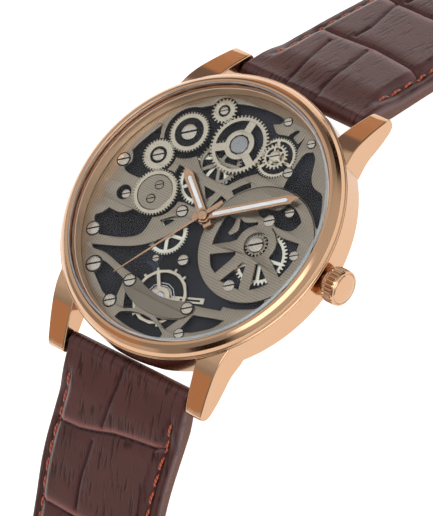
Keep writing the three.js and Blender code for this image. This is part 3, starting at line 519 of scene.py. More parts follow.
def turned_metal(name, colour, centre, roughness=0.3):
    """Plating with circular graining about a centre in plan."""
    material, tree, shader = principled(name, Metallic=1.0)
    flat = place_coordinates(tree, centre=(*centre, 0), scale=(1, 1, 0))
    radius = node(tree, "ShaderNodeVectorMath", {0: flat}, operation="LENGTH").outputs["Value"]
    rings = node(tree, "ShaderNodeTexNoise", {"W": radius, "Scale": 9000, "Detail": 2},
                 noise_dimensions="1D")
    grain = rings.outputs["Fac"]
    cloud = noise(tree, place_coordinates(tree), 300, 3)
    light = mixed(tree, remapped(tree, grain, 0, 1), darker(colour, 0.86), darker(colour, 1.08))
    surface(tree, shader, mixed(tree, cloud, light, colour),
            remapped(tree, grain, roughness * 0.8, roughness * 1.3))
    bump(tree, shader, grain, 0.3, 0.006)
    return material


def satin_paint(name, colour, accent):
    """Dark satin plating with a slow drift between two tones and an uneven gloss."""
    material, tree, shader = principled(name, Metallic=0.2, Specular_IOR_Level=0.15)
    drift = noise(tree, place_coordinates(tree, centre=(3, 5, 0)), 90, 1)
    fine = noise(tree, place_coordinates(tree, scale=(1, 0.1, 1)), 900, 2)
    surface(tree, shader, mixed(tree, remapped(tree, drift, 0, 1, 0.4, 0.62), colour, accent),
            remapped(tree, fine, 0.38, 0.46))
    return material


def moulded(name, colour, roughness, grain_scale, depth, **inputs):
    """Rubber, plastic, lume or jewel: a mottled surface with a fine grain."""
    material, tree, shader = principled(name, **inputs)
    grain = noise(tree, place_coordinates(tree), grain_scale, 4)
    mottle = noise(tree, place_coordinates(tree), grain_scale / 8, 3)
    surface(tree, shader, mixed(tree, remapped(tree, mottle, 0, 1), darker(colour, 0.88), colour),
            remapped(tree, grain, roughness * 0.85, roughness * 1.15))
    bump(tree, shader, grain, 0.3, depth)
    return material


def glass(name, tint, haze, reflection):
    """Thin clear glass: see-through, with Fresnel gloss and a share of haze."""
    material = bpy.data.materials.new(name)
    material.use_nodes = True
    tree = material.node_tree
    tree.nodes.clear()
    clear = node(tree, "ShaderNodeBsdfTransparent", {"Color": tint})
    milky = node(tree, "ShaderNodeBsdfDiffuse", {"Color": rgba(0.62, 0.70, 0.78)})
    gloss = node(tree, "ShaderNodeBsdfGlossy", {"Color": rgba(1, 1, 1), "Roughness": 0.02})
    fresnel = node(tree, "ShaderNodeFresnel", {"IOR": 1.5}).outputs[0]
    share = calculated(tree, fresnel, "MULTIPLY", reflection)
    smudge = remapped(tree, noise(tree, place_coordinates(tree), 700, 3), haze * 0.8, haze * 1.2)
    body = node(tree, "ShaderNodeMixShader", {0: smudge, 1: clear.outputs[0], 2: milky.outputs[0]})
    whole = node(tree, "ShaderNodeMixShader", {0: share, 1: body.outputs[0], 2: gloss.outputs[0]})
    node(tree, "ShaderNodeOutputMaterial", {"Surface": whole.outputs[0]})
    return material


def leather_top():
    """Glossy embossed calf: red-brown scales, dark grooves with a painted rust highlight along the rows,
    creases and fine pores.
    """
    material, tree, shader = principled(
        "leather_top", Coat_Weight=0.1, Coat_Roughness=0.22, Specular_IOR_Level=0.5,
        Specular_Tint=rgba(1.0, 0.60, 0.56), Sheen_Weight=0.08, Sheen_Roughness=0.35,
    )
    vector = place_coordinates(tree)
    groove = node(tree, "ShaderNodeAttribute", attribute_name="groove").outputs["Fac"]
    ridge_highlight = node(tree, "ShaderNodeAttribute", attribute_name="ridge_highlight").outputs["Fac"]
    cloud = noise(tree, vector, 130, 3)
    pores = noise(tree, vector, 3200, 3)
    creases = noise(tree, place_coordinates(tree, turn=0.05, scale=(1, 0.12, 0.12)), 2300, 2)
    patches = noise(tree, place_coordinates(tree, centre=(4, 9, 0)), 210, 1)
    crease = calculated(tree, remapped(tree, creases, 0, 1, 0.52, 0.61), "MULTIPLY",
                        remapped(tree, patches, 0, 1, 0.36, 0.52))
    scale_colour = mixed(tree, remapped(tree, cloud, 0, 1), rgba(0.047, 0.019, 0.019),
                         rgba(0.068, 0.024, 0.023))
    creased = mixed(tree, crease, scale_colour, rgba(0.014, 0.002, 0.002))
    # Painted highlight: a light rust band on the lug side of each row of scales.
    ridge_highlighted = mixed(tree, ridge_highlight, creased, rgba(0.19, 0.055, 0.045))
    colour = mixed(tree, groove, ridge_highlighted, rgba(0.018, 0.002, 0.002))
    surface(tree, shader, colour, remapped(tree, pores, 0.3, 0.44))
    bump(tree, shader, calculated(tree, pores, "SUBTRACT", crease), 0.5, 0.06)
    return material


def leather_lining():
    """Matte lining of the strap's back and cut edges."""
    material, tree, shader = principled("leather_lining")
    nap = noise(tree, place_coordinates(tree), 2600, 5)
    cloud = noise(tree, place_coordinates(tree), 200, 3)
    surface(tree, shader, mixed(tree, cloud, rgba(0.075, 0.026, 0.017), rgba(0.12, 0.045, 0.027)),
            remapped(tree, nap, 0.6, 0.8))
    bump(tree, shader, nap, 0.4, 0.05)
    return material


def thread():
    """Waxed rust-orange thread with its twist."""
    material, tree, shader = principled("thread", Roughness=0.55, Sheen_Weight=0.3, Sheen_Roughness=0.4)
    twist = node(tree, "ShaderNodeTexWave", {
        "Vector": place_coordinates(tree, turn=0.9), "Scale": 700.0, "Distortion": 1.0,
    }).outputs["Fac"]
    tree.links.new(mixed(tree, twist, rgba(0.20, 0.022, 0.007), rgba(0.50, 0.10, 0.03)),
                   shader.inputs["Base Color"])
    bump(tree, shader, twist, 0.5, 0.06)
    return material


def floor_paper():
    material, tree, shader = principled("floor_paper", Roughness=0.9, Emission_Color=rgba(1, 1, 1),
                                        Emission_Strength=0.6)
    grain = noise(tree, place_coordinates(tree), 300, 2)
    tree.links.new(mixed(tree, grain, rgba(0.93, 0.93, 0.93), rgba(0.96, 0.96, 0.96)),
                   shader.inputs["Base Color"])
    return material


ROSE = rgba(0.56, 0.345, 0.21)
TAUPE = rgba(0.36, 0.31, 0.24)
CHAMPAGNE = rgba(0.62, 0.56, 0.44)
PALE = rgba(0.80, 0.78, 0.66)

rose_gold = polished_metal("rose_gold", ROSE)
hand_gold = polished_metal("hand_gold", ROSE, 0.2)
# Painted light: the flange's gold is a much lighter copy of the case's rose gold, so the ring inside the
# crystal reads bright.
flange_gold_painted_light = polished_metal("flange_gold_painted_light", rgba(0.98, 0.72, 0.52), 0.42)
plate_finish = grained_metal("plate_finish", TAUPE, ribs=RIB_PITCH)
bridge_finish = grained_metal("bridge_finish", TAUPE, turn=math.pi / 2, ribs=RIB_PITCH, turn_above=1.2)
name_finish = grained_metal("name_finish", darker(TAUPE, 0.7), ribs=0.3)
wheel_finish = grained_metal("wheel_finish", CHAMPAGNE, turn=0.4)
pale_finish = grained_metal("pale_finish", PALE, turn=0.9, roughness=0.4)
# Painted shade: a darker copy of the champagne wheel finish, for the fan wheel and the third wheel low
# under the plates.
shaded_finish = grained_metal("shaded_finish", darker(CHAMPAGNE, 0.55), turn=0.9, roughness=0.45)
steel = grained_metal("steel", rgba(0.58, 0.58, 0.59), turn=0.2, roughness=0.28)
brass = grained_metal("brass", rgba(0.72, 0.53, 0.25), turn=0.8)
screw_finish = grained_metal("screw_finish", rgba(0.52, 0.47, 0.39), turn=1.1, roughness=0.25,
                             depth=0.0005)
# Black steel is also the painted shade in screw slots and in the thin rings round screw heads.
black_steel = satin_paint("black_steel", rgba(0.008, 0.008, 0.01), rgba(0.014, 0.014, 0.017))
blued_steel = satin_paint("blued_steel", rgba(0.03, 0.036, 0.05), rgba(0.05, 0.06, 0.08))
dark_plate = satin_paint("dark_plate", rgba(0.010, 0.010, 0.012), rgba(0.026, 0.027, 0.035))
jewel = moulded("jewel", rgba(0.30, 0.31, 0.31), 0.3, 1600, 0.03, Coat_Weight=0.4, Coat_Roughness=0.1)
gasket_amber = moulded("gasket_amber", rgba(0.33, 0.17, 0.09), 0.5, 2400, 0.02)
plastic = moulded("plastic", rgba(0.62, 0.6, 0.54), 0.5, 1800, 0.01)
lume = moulded("lume", rgba(0.97, 0.96, 0.93), 0.6, 5000, 0.01)
crystal_glass = glass("crystal_glass", rgba(0.985, 0.99, 1.0), 0.002, 0.12)
crystal_bevel = glass("crystal_bevel", rgba(0.70, 0.76, 0.82), 0.35, 0.8)
# Screw heads: their metal, then black steel as painted shade in the slots and in the rings round the
# heads.
SCREW_METAL_AND_PAINTED_SHADE = [screw_finish, black_steel]
leather = leather_top()
lining = leather_lining()
stitch_thread = thread()


# ---- Flat pieces, rebuilt from the CAD's outlines ----

def outlines(node_name, top):
    """Closed outlines, in millimetres, of a CAD node's upward faces at a height."""
    shape = bmesh.new()
    shape.from_mesh(frame["nodes"][node_name].data)
    bmesh.ops.remove_doubles(shape, verts=shape.verts, dist=WELD_DISTANCE)
    flat = {f for f in shape.faces if f.normal.z > 0.9 and abs(f.verts[0].co.z / MM - top) < 0.012}
    follow = {}
    for face in flat:
        for loop in face.loops:
            if sum(other in flat for other in loop.edge.link_faces) == 1:
                follow.setdefault(loop.vert.index, []).append(loop.link_loop_next.vert.index)
    points = {v.index: (v.co.x / MM, v.co.y / MM) for v in shape.verts}
    shape.free()
    loops = []
    while follow:
        start = next(iter(follow))
        loop, here = [], start
        while here in follow:
            loop.append(points[here])
            ways = follow[here]
            ahead = ways.pop()
            if not ways:
                del follow[here]
            here = ahead
        if len(loop) > 2:
            loops.append(loop)
    return loops


def softened(loop):
    """Smooths an outline's gentle bends, twice, and keeps its corners."""
    points = [np.array(p) for p in loop]
    for corner in (42.0, 60.0):
        count = len(points)
        result = []
        for i, here in enumerate(points):
            back, ahead = points[i - 1], points[(i + 1) % count]
            a, b = here - back, ahead - here
            turn = abs(math.degrees(math.atan2(a[0] * b[1] - a[1] * b[0], a @ b)))
            if turn > corner:
                result.append(here)
            else:
                result += [here - a * 0.25, here + b * 0.25]
        points = result
    return [tuple(p) for p in points]


def inset(loop, distance):
    """An outline moved towards the material on its left by a small distance."""
    points = np.array(loop, float)
    ahead = np.roll(points, -1, axis=0) - points
    ahead /= np.maximum(np.linalg.norm(ahead, axis=1, keepdims=True), 1e-9)
    left = np.stack([-ahead[:, 1], ahead[:, 0]], 1)
    before = np.roll(left, 1, axis=0)
    share = np.maximum(1 + np.sum(left * before, axis=1, keepdims=True), 0.5)
    return points + (left + before) / share * distance


def flat_mesh(loops, low, high, bevel):
    """A plate of the given outlines between two heights, with a rounded top edge."""
    levels = [(low, 0.0), (high - bevel, 0.0), (high - 0.3 * bevel, 0.3 * bevel), (high, bevel)]
    vertices, faces = [], []
    total = sum(len(loop) for loop in loops)
    for height, distance in levels:
        for loop in loops:
            vertices += [(x, y, height) for x, y in inset(loop, distance)]
    start = 0
    for loop in loops:
        count = len(loop)
        for level in range(len(levels) - 1):
            a, b = level * total + start, (level + 1) * total + start
            faces += [[a + i, a + (i + 1) % count, b + (i + 1) % count, b + i] for i in range(count)]
        start += count
    flat = tessellate_polygon([[Vector((x, y, 0)) for x, y in loop] for loop in loops])
    top = (len(levels) - 1) * total
    for triangle in flat:
        faces.append(list(triangle))
        faces.append([i + top for i in triangle])
    return mesh_of("plate", vertices, faces)


def flat_piece(node_name, levels, material, slot, bevel=0.035, smooth=False, extra=()):
    """Stands for a flat CAD node: one plate for each (low, high) level, and any extra meshes."""
    parts = list(extra)
    for low, high in levels:
        loops = outlines(node_name, high)
        parts.append(flat_mesh([softened(one) for one in loops] if smooth else loops, low, high, bevel))
    mesh = joined(parts) if len(parts) > 1 else parts[0]
    return place_finished(node_name, mesh, material, slot)


def centre_of(node_name):
    low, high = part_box(node_name)
    return (low.x + high.x) / 2 / MM, (low.y + high.y) / 2 / MM


def heights_of(node_name):
    low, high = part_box(node_name)
    return low.z / MM, high.z / MM


# ---- Case ----

def lug_mesh(side_x, side_y):
    """One lug: its side profile between the inner face and the tapering outer face."""
    profile = rounded(LUG_PROFILE, 0.9, 5)
    ys, widths = zip(*LUG_PLAN)
    outer = [(np.interp(y, ys, widths) * side_x, y * side_y, z) for y, z in profile]
    inner = [(LUG_INNER_X * side_x, y * side_y, z) for y, z in profile]
    piece = bpy.data.objects.new("lug", between(inner, outer, "lug"))
    bpy.context.scene.collection.objects.link(piece)
    bevelled(piece, 0.22, 3, 50)
    result = evaluated_mesh(piece)
    bpy.data.objects.remove(piece)
    return cleaned(result)


def along_x(mesh, y, z):
    """Turns a mesh made about Z so that it points along X, at a place."""
    return moved(moved(mesh, Matrix.Rotation(math.pi / 2, 4, "Y")), shift(0, y, z))


def add_case_body():
    """Band and lugs in one piece, bored out, with room for the strap ends between the lugs."""
    band = turned(rounded([
        (18.8, BACK_SEAM + 0.02), (20.4, BACK_SEAM + 0.02), (CASE_RADIUS, BACK_SEAM + 0.6),
        (CASE_RADIUS, BEZEL_SEAM - 0.02), (18.8, BEZEL_SEAM - 0.02),
    ], 0.12, 3))
    corners = [(1, 1), (-1, 1), (1, -1), (-1, -1)]
    lugs = joined([lug_mesh(x, y) for x, y in corners])
    bore = drum(BORE_RADIUS, -1, 9, 192)
    recesses = [
        along_x(drum(RECESS_RADIUS, -LUG_INNER_X, LUG_INNER_X, 48), side * SPRING_BAR_Y, SPRING_BAR_Z)
        for side in (-1, 1)
    ]
    steps = [(lugs, "UNION"), (bore, "DIFFERENCE"), *((one, "DIFFERENCE") for one in recesses)]
    case = place("case_body", combined(band, *steps), "case", rose_gold, "rose_gold", ["case_middle"])
    case.modifiers.new("normals", "WEIGHTED_NORMAL").keep_sharp = True


def add_case_ring(name, node_name, profile, corner, steps, material, closed=True):
    mesh = turned(rounded(profile, corner, steps, closed), closed=closed)
    place(name, mesh, "case", material, "rose_gold", [node_name])


def add_case_rings():
    bezel = [
        (18.9, BEZEL_SEAM), (20.94, BEZEL_SEAM), (20.98, 7.05), (20.82, 7.14), (20.55, 7.72),
        (20.1, 8.22), (19.65, 8.54), (19.35, 8.62), (19.12, 8.56), (19.12, 7.25), (18.9, 7.25),
    ]
    flange = [(18.35, 5.98), (18.68, 5.98), (18.68, 7.55), (18.5, 7.55)]
    back = [
        (0, 0), (14.2, 0), (14.35, 0.12), (14.9, 0.12), (15.05, 0), (17.2, 0), (19.2, 0.9),
        (19.5, BACK_SEAM), (18.7, BACK_SEAM), (18.6, 0.95), (0, 0.95),
    ]
    back_finish = turned_metal("back_finish", ROSE, (0, 0), 0.25)
    add_case_ring("bezel_ring", "bezel", bezel, 0.07, 3, rose_gold)
    add_case_ring("flange_ring", "inner_flange", flange, 0.05, 2, flange_gold_painted_light)
    add_case_ring("case_back_cover", "case_back", back, 0.1, 3, back_finish, closed=False)


def add_crystal():
    """Flat crystal with a ground bevel; the bevel has its own milky finish."""
    mesh = turned([
        (0, 7.6), (CRYSTAL_RADIUS, 7.6), (CRYSTAL_RADIUS, CRYSTAL_TOP - 0.2),
        (CRYSTAL_RADIUS - 0.29, CRYSTAL_TOP), (0, CRYSTAL_TOP),
    ], closed=False)
    piece = place("crystal_disc", mesh, "case", [crystal_glass, crystal_bevel], "crystal", ["crystal"])
    for face in piece.data.polygons:
        on_rim = math.hypot(face.center.x, face.center.y) > (CRYSTAL_RADIUS - 0.35) * MM
        face.material_index = int(on_rim and abs(face.normal.z) > 0.01)


def crown_mesh():
    """Fluted crown: a base flange, rounded flutes, a raised front ring and a domed face."""
    profile = [(0, 21.58), (2.3, 21.58), (2.42, 21.64), (2.42, 21.8), (2.36, 21.84)]
    profile += [(CROWN_RADIUS, 21.9 + 1.5 * i / 8) for i in range(9)]
    profile += [
        (2.46, 23.48), (2.44, 23.62), (2.36, 23.72), (2.22, 23.74), (2.14, 23.66), (2.08, 23.68),
        (2.0, 23.82), (1.85, 23.9), (1.2, 23.97), (0.6, 24.0), (0, 24.01),
    ]

    def flutes(radius, height, angle):
        if not FLUTE_LOW < height < FLUTE_HIGH:
            return radius
        ends = min(1.0, (height - FLUTE_LOW) / 0.2, (FLUTE_HIGH - height) / 0.25)
        wave = 0.5 + 0.5 * math.cos(CROWN_FLUTES * angle)
        return radius - FLUTE_DEPTH * ends * wave ** 1.5

    return along_x(turned(profile, CROWN_FLUTES * 12, closed=False, radius_at=flutes), 0, CROWN_Z)


# ---- Screws ----

def screw_mesh(radius, top, depth, shadow=None):
    """A screw head with a chamfer and a cut slot whose floor is painted dark as shade, its top at the
    given height.

    shadow is the height of a thin dark ring round the head: a painted shadow where the head sits in a
    counterbore.
    """
    chamfer = radius * SCREW_CHAMFER_SHARE
    head = turned([
        (0, top - depth), (radius, top - depth), (radius, top - chamfer),
        (radius - chamfer * 0.35, top - chamfer * 0.3), (radius - chamfer, top), (0, top),
    ], 48, closed=False)
    half = radius * SCREW_SLOT_SHARE
    slot = prism(box_outline(radius * 1.2, half), top - SCREW_SLOT_DEPTH, top + 0.2)
    mesh = combined(head, (slot, "DIFFERENCE"))
    # Painted shade: faces down in the slot take the dark second material.
    for face in mesh.polygons:
        below = top - face.center.z / MM
        in_width = abs(face.center.y) < half * 1.02 * MM
        face.material_index = int(in_width and 0.01 < below < SCREW_SLOT_DEPTH + 0.005)
    mesh.transform(Matrix.Rotation(SCREW_SLOT_ANGLE, 4, "Z"))
    if shadow is None:
        return mesh
    outer = radius * SCREW_SHADOW_SHARE
    # Painted shadow: a thin dark ring round the head.
    ring = turned([(radius, top - depth), (outer, top - depth), (outer, shadow), (radius, shadow)], 48)
    ring.polygons.foreach_set("material_index", [1] * len(ring.polygons))
    return joined([mesh, ring])


def add_screws():
    rows = [("plate_screw", PLATE_SCREWS, 6.1, 0.2, 5.965), ("base_screw", BASE_SCREWS, 5.5, 0.45, 5.1)]
    for name, screws, top, depth, shadow in rows:
        for i, (x, y, radius) in enumerate(screws, 1):
            mesh = moved(screw_mesh(radius, top, depth, shadow), shift(x, y))
            place(f"{name}_{i}", mesh, "case", SCREW_METAL_AND_PAINTED_SHADE, "wheel_metal")
    for name, radius in WHEEL_SCREWS:
        low, high = heights_of(name)
        mesh = moved(screw_mesh(radius, high, high - low), shift(*centre_of(name)))
        place_finished(name, mesh, SCREW_METAL_AND_PAINTED_SHADE, "wheel_metal")


# ---- Dial and wheels ----

def add_plates():
    flat_piece("dial_plate", [PLATE_LEVEL], plate_finish, "plate_metal", 0.05, smooth=True)
    flat_piece("fan_bridge", [BRIDGE_LEVEL], bridge_finish, "plate_metal", 0.05, smooth=True)
    screws = [moved(screw_mesh(radius, 6.34, 0.15, 6.215), shift(x, y)) for x, y, radius in NAME_SCREWS]
    flat_piece("name_plate", [NAME_LEVEL], name_finish, "plate_metal", 0.05, smooth=True)
    place("name_plate_screws", joined(screws), "case", SCREW_METAL_AND_PAINTED_SHADE, "wheel_metal")
    low, high = BASE_LEVEL
    hole, edge = BASE_RADII
    base = turned([(hole, low), (edge, low), (edge, high), (hole, high)])
    place_finished("base_plate", base, dark_plate, "dark_plate")


def add_crown_wheel():
    finish = turned_metal("crown_wheel_finish", CHAMPAGNE, CROWN_WHEEL_CENTRE)
    flat_piece("crown_wheel", [WINDING_LEVEL], finish, "wheel_metal")
    core = turned([(0, 5.98), (2.58, 5.98), (2.58, 6.14), (2.5, 6.2), (0, 6.2)], 128, closed=False)
    screws = [moved(screw_mesh(0.6, 6.29, 0.12, 6.21), shift(0, y)) for y in (1.15, -1.05)]
    mesh = moved(joined([core, *screws]), shift(*CROWN_WHEEL_CENTRE))
    core_finish = grained_metal("core_finish", TAUPE, math.pi / 2, ribs=0.32)
    # Black steel here is the painted shade in the core screws' slots and rings.
    place_finished("crown_wheel_core", mesh, [core_finish, black_steel], "plate_metal")


def add_wheels():
    add_crown_wheel()
    for name, level in RING_FINISHED_WHEELS:
        finish = turned_metal(name + "_finish", CHAMPAGNE, centre_of(name))
        flat_piece(name, [level], finish, "wheel_metal")
    flat_piece("fan_wheel", [FAN_WHEEL_LEVEL], shaded_finish, "wheel_metal")

    driven = shift(*centre_of("driven_wheel"))
    middle = [moved(drum(0.6, 5.45, 5.8, 32), driven), moved(screw_mesh(0.75, 6.14, 0.3), driven)]
    # Black steel here is the painted shade in the middle screw's slot.
    finish = [wheel_finish, black_steel]
    flat_piece("driven_wheel", DRIVEN_LEVELS, finish, "wheel_metal", 0.02, extra=middle)

    for name, level in LOW_WHEELS:
        # The third wheel takes the darker copy as painted shade.
        finish = shaded_finish if name == "third_wheel" else pale_finish
        pin = moved(drum(0.35, *heights_of(name), 32), shift(*centre_of(name)))
        flat_piece(name, [level], finish, "wheel_metal", 0.02, extra=[pin])

    collar = turned([(1.25, 5.9), (2.1, 5.9), (2.1, 6.04), (2.04, 6.1), (1.3, 6.1), (1.25, 6.05)], 96)
    dome = [(0, 5.5), (1.25, 5.5), (1.25, 5.98), (1.15, 6.06), (0.9, 6.09), (0, 6.1)]
    stone = turned(dome, 96, closed=False)
    for name, mesh, material, slot in [("ratchet_collar", collar, black_steel, "black_steel"),
                                       ("great_wheel_jewel", stone, jewel, "jewel")]:
        place_finished(name, moved(mesh, shift(*centre_of(name))), material, slot)


def add_balance():
    flat_piece("balance_wheel", [BALANCE_LEVEL], wheel_finish, "wheel_metal", 0.04)
    flat_piece("regulator_arm", [ARM_LEVEL], wheel_finish, "wheel_metal", 0.02)
    flat_piece("pallet_fork", [ARM_LEVEL], blued_steel, "steel", 0.02)
    profile = [(0, 5.02), (0.3, 5.02), (0.3, 5.27), (0.7, 5.27), (0.7, 5.46), (0.64, 5.52), (0, 5.52)]
    staff = moved(turned(profile, 48, closed=False), shift(*centre_of("balance_staff")))
    place_finished("balance_staff", staff, steel, "steel")


def add_hands():
    for name in ("hour", "minute"):
        flat_piece(f"{name}_hand", [heights_of(f"{name}_hand")], hand_gold, "rose_gold", 0.06)
        flat_piece(f"{name}_lume", [heights_of(f"{name}_lume")], lume, "lume", 0.04)
    profile = [(0, 7.12), (0.75, 7.12), (0.75, 7.3), (0.5, 7.37), (0, 7.38)]
    hub = turned(rounded(profile, 0.05, 3, closed=False), 64, closed=False)
    flat_piece("seconds_hand", [SECONDS_LEVEL], hand_gold, "rose_gold", 0.03, extra=[hub])


# ---- Strap ----

def strap_place(along, straight):
    """Distance from the dial axis, height and slope of the strap's middle line."""
    on_straight = np.minimum(along, straight)
    bend_length = STRAP_BEND_RADIUS * STRAP_SLOPE
    in_bend = np.clip(along - straight, 0, bend_length)
    on_flat = np.maximum(along - straight - bend_length, 0)
    angle = STRAP_SLOPE - in_bend / STRAP_BEND_RADIUS
    y = (SPRING_BAR_Y + on_straight * np.cos(STRAP_SLOPE)
         + STRAP_BEND_RADIUS * (np.sin(STRAP_SLOPE) - np.sin(angle)) + on_flat)
    z = (SPRING_BAR_Z - on_straight * np.sin(STRAP_SLOPE)
         - STRAP_BEND_RADIUS * (np.cos(angle) - np.cos(STRAP_SLOPE)))
    return y, z, angle


def smoothstep(value, low, high):
    t = np.clip((value - low) / (high - low), 0, 1)
    return t * t * (3 - 2 * t)


def valley(distance, width):
    """Share of a groove's depth at a distance from its middle."""
    return np.exp(-(distance / width) ** 2)


def distance_to(line, along, across):
    """Distance from each point to a polyline, and how far down the strap from it the point is."""
    best = np.full(along.shape, 1e9)
    ahead = np.zeros(along.shape)
    for (a0, u0), (a1, u1) in zip(line, line[1:]):
        da, du = a1 - a0, u1 - u0
        t = np.clip(((along - a0) * da + (across - u0) * du) / (da * da + du * du), 0, 1)
        distance = np.hypot(along - a0 - t * da, across - u0 - t * du)
        ahead = np.where(distance < best, along - a0 - t * da, ahead)
        best = np.minimum(best, distance)
    return best, ahead


def crocodile(rows, splits, length, seed):
    """Lines between the embossed scales: the first ones given, the rest laid out down the strap.

    The first row of scales after the given rows has only the given splits.
    """
    draw = random.Random(seed)
    rows, splits = list(rows), list(splits)
    start = max(a for a, _ in rows[-1])
    splits_given_to = start
    while start < length - 8:
        end = start + draw.uniform(10.5, 13.5)
        tilt = draw.uniform(-0.9, 0.9)
        rows.append([(end + tilt * u / 9 + draw.uniform(-0.3, 0.3), u) for u in ROW_POINTS])
        for u in draw.sample(SPLIT_PLACES, 2):
            lean = draw.uniform(-0.8, 0.8)
            middle = u + draw.uniform(-0.4, 0.4) + lean / 2
            if start > splits_given_to:
                splits.append([(start + 0.6, u), ((start + end) / 2, middle), (end - 0.6, u + lean)])
        start = end
    return rows, splits


class StrapHalf:
    """Shape of one strap half: half width, thickness, and the embossed and padded top."""

    def __init__(self, straight, length, lines, sway, pointed):
        self.straight = straight
        self.length = length
        self.pointed = pointed
        self.sway = sway
        self.rows, self.splits = lines

    def half_width(self, along):
        width = STRAP_WIDTH_AT_LUGS + (STRAP_WIDTH_AT_END - STRAP_WIDTH_AT_LUGS) * along / self.length
        if self.pointed:
            share = np.clip((along - (self.length - POINT_LENGTH)) / POINT_LENGTH, 0, 0.999)
            width = width * np.sqrt(1 - share ** 2)
        return width / 2

    def half_thickness(self, along):
        share = np.clip(along / STRAP_TAPER_LENGTH, 0, 1)
        fullness = NOSE_SHARE + (1 - NOSE_SHARE) * smoothstep(along, 0, NOSE_LENGTH)
        return (STRAP_THICK + (STRAP_THIN - STRAP_THICK) * share) / 2 * fullness

    def top(self, along, across):
        """Height of the top surface above the middle line, its groove colouring, and a painted highlight
        along the scale rows.
        """
        half_width = self.half_width(along)
        margin_inset = half_width - np.abs(across)
        drop = (0.95 - 0.5 * smoothstep(along, 20, 50)) * smoothstep(along, 1.5, 8)
        margin = smoothstep(MARGIN_WIDTH - margin_inset, 0, 1.8)
        height = self.half_thickness(along) - drop * margin - 0.12 * (across / half_width) ** 2
        beyond = np.clip(EDGE_ROUND - margin_inset, 0, EDGE_ROUND)
        height -= EDGE_ROUND - np.sqrt(EDGE_ROUND ** 2 - beyond ** 2)
        groove = 0.5 * valley(margin_inset, 0.5)
        ridge_highlight = np.zeros(along.shape)
        for row in self.rows:
            d, ahead = distance_to(row, along, across)
            height -= sum(depth * valley(d, width) for depth, width in ROW_DENTS)
            groove = np.maximum(groove, valley(d, 0.3))
            # Painted highlight just before each row, on the lug side.
            ridge_highlight = np.maximum(ridge_highlight, np.where(ahead < 0, valley(d - 0.6, 0.4), 0))
        for split in self.splits:
            d, _ = distance_to(split, along, across)
            height -= sum(depth * valley(d, width) for depth, width in SPLIT_DENTS)
            groove = np.maximum(groove, 0.95 * valley(d, 0.26))
        d = np.abs(margin_inset - STITCH_INSET)
        started = smoothstep(along, 2.5, 4.5)
        height -= STITCH_DENT[0] * valley(d, STITCH_DENT[1]) * started
        groove = np.maximum(groove, 0.85 * valley(d, 0.55) * started)
        return height, groove, ridge_highlight * (1 - margin)

    def point(self, along, across, up, side):
        """Place of a point at a height above the middle line. side is +1 at 12 o'clock and -1 at 6."""
        y, z, angle = strap_place(along, self.straight)
        across = across + self.sway * smoothstep(along, 0, 20) * (1 - smoothstep(along, 32, 56))
        return np.stack([across, side * (y + up * np.sin(angle)), z + up * np.cos(angle)], -1)


def nose(along, end, front_radius, back_radius):
    """Share of the thickness left where the strap rounds off at its two ends."""
    front = np.clip(-along / front_radius, 0, 1)
    back = np.clip((along - end) / back_radius, 0, 1)
    return np.sqrt(np.maximum(1 - np.maximum(front, back) ** 2, 0.0025))


def strap_rings(half, side):
    """Rings of top, edge, back and edge points down the strap, and the top's groove shares and painted
    highlight shares.
    """
    nose_front = STRAP_THICK * NOSE_SHARE / 2
    nose_back = 0.3 if half.pointed else STRAP_THIN / 2
    end = half.length - nose_back if half.pointed else half.length
    angles = np.linspace(0, math.pi / 2, 14)[1:]
    body = np.arange(0, half.length, STRAP_STEP)
    ends = (-nose_front * np.cos(angles[:-1]), end + nose_back * np.sin(angles))
    along = np.concatenate([ends[0], body[body < end], ends[1]])
    rim = np.cos(np.linspace(0.0, 0.45, 8))
    top_share = np.concatenate([-rim, np.linspace(-0.895, 0.895, 96), rim[::-1]])
    back_share = np.linspace(1, -1, 24)

    def spread(shares):
        grid, share = np.meshgrid(along, shares, indexing="ij")
        width = half.half_width(np.clip(grid, 0, half.length))
        return grid, np.clip(grid, 0, end), share, share * width, nose(grid, end, nose_front, nose_back)

    grid, inside, share, across, fullness = spread(top_share)
    up, groove, ridge_highlight = half.top(inside, across)
    top = half.point(grid, across, up * fullness, side)
    grid, inside, share, across, fullness = spread(back_share)
    down = 0.3 * smoothstep(np.abs(share), 0.93, 1.0) - half.half_thickness(inside)
    back = half.point(grid, across, down * fullness, side)

    def edge(first, last):
        return np.stack([first + (last - first) * t for t in np.linspace(0, 1, 7)[1:-1]], 1)

    rings = np.concatenate([top, edge(top[:, -1], back[:, 0]), back, edge(back[:, -1], top[:, 0])], 1)
    return rings, groove, ridge_highlight


def strap_mesh(half, side):
    """The strap half as one closed skin: leather on top and at the edges, lining on the back."""
    rings, groove, ridge_highlight = strap_rings(half, side)
    count, ring = rings.shape[:2]
    index = np.arange(count * ring).reshape(count, ring)
    after = np.roll(index, -1, axis=1)
    quads = np.stack([index[:-1], after[:-1], after[1:], index[1:]], -1).reshape(-1, 4)
    mesh = bpy.data.meshes.new("strap")
    faces = quads.tolist() + [index[0].tolist(), index[-1].tolist()]
    mesh.from_pydata((rings.reshape(-1, 3) * MM).tolist(), [], faces)
    top_count = groove.shape[1]
    for name, values in (("groove", groove), ("ridge_highlight", ridge_highlight)):
        padded = np.zeros((count, ring), np.float32)
        padded[:, :top_count] = values
        mesh.attributes.new(name, "FLOAT", "POINT").data.foreach_set("value", padded.ravel())
    on_back = np.zeros((count - 1, ring), np.int32)
    on_back[:, top_count + 1:-2] = 1
    mesh.polygons.foreach_set("material_index", [*on_back.ravel().tolist(), 0, 0])
    return mesh


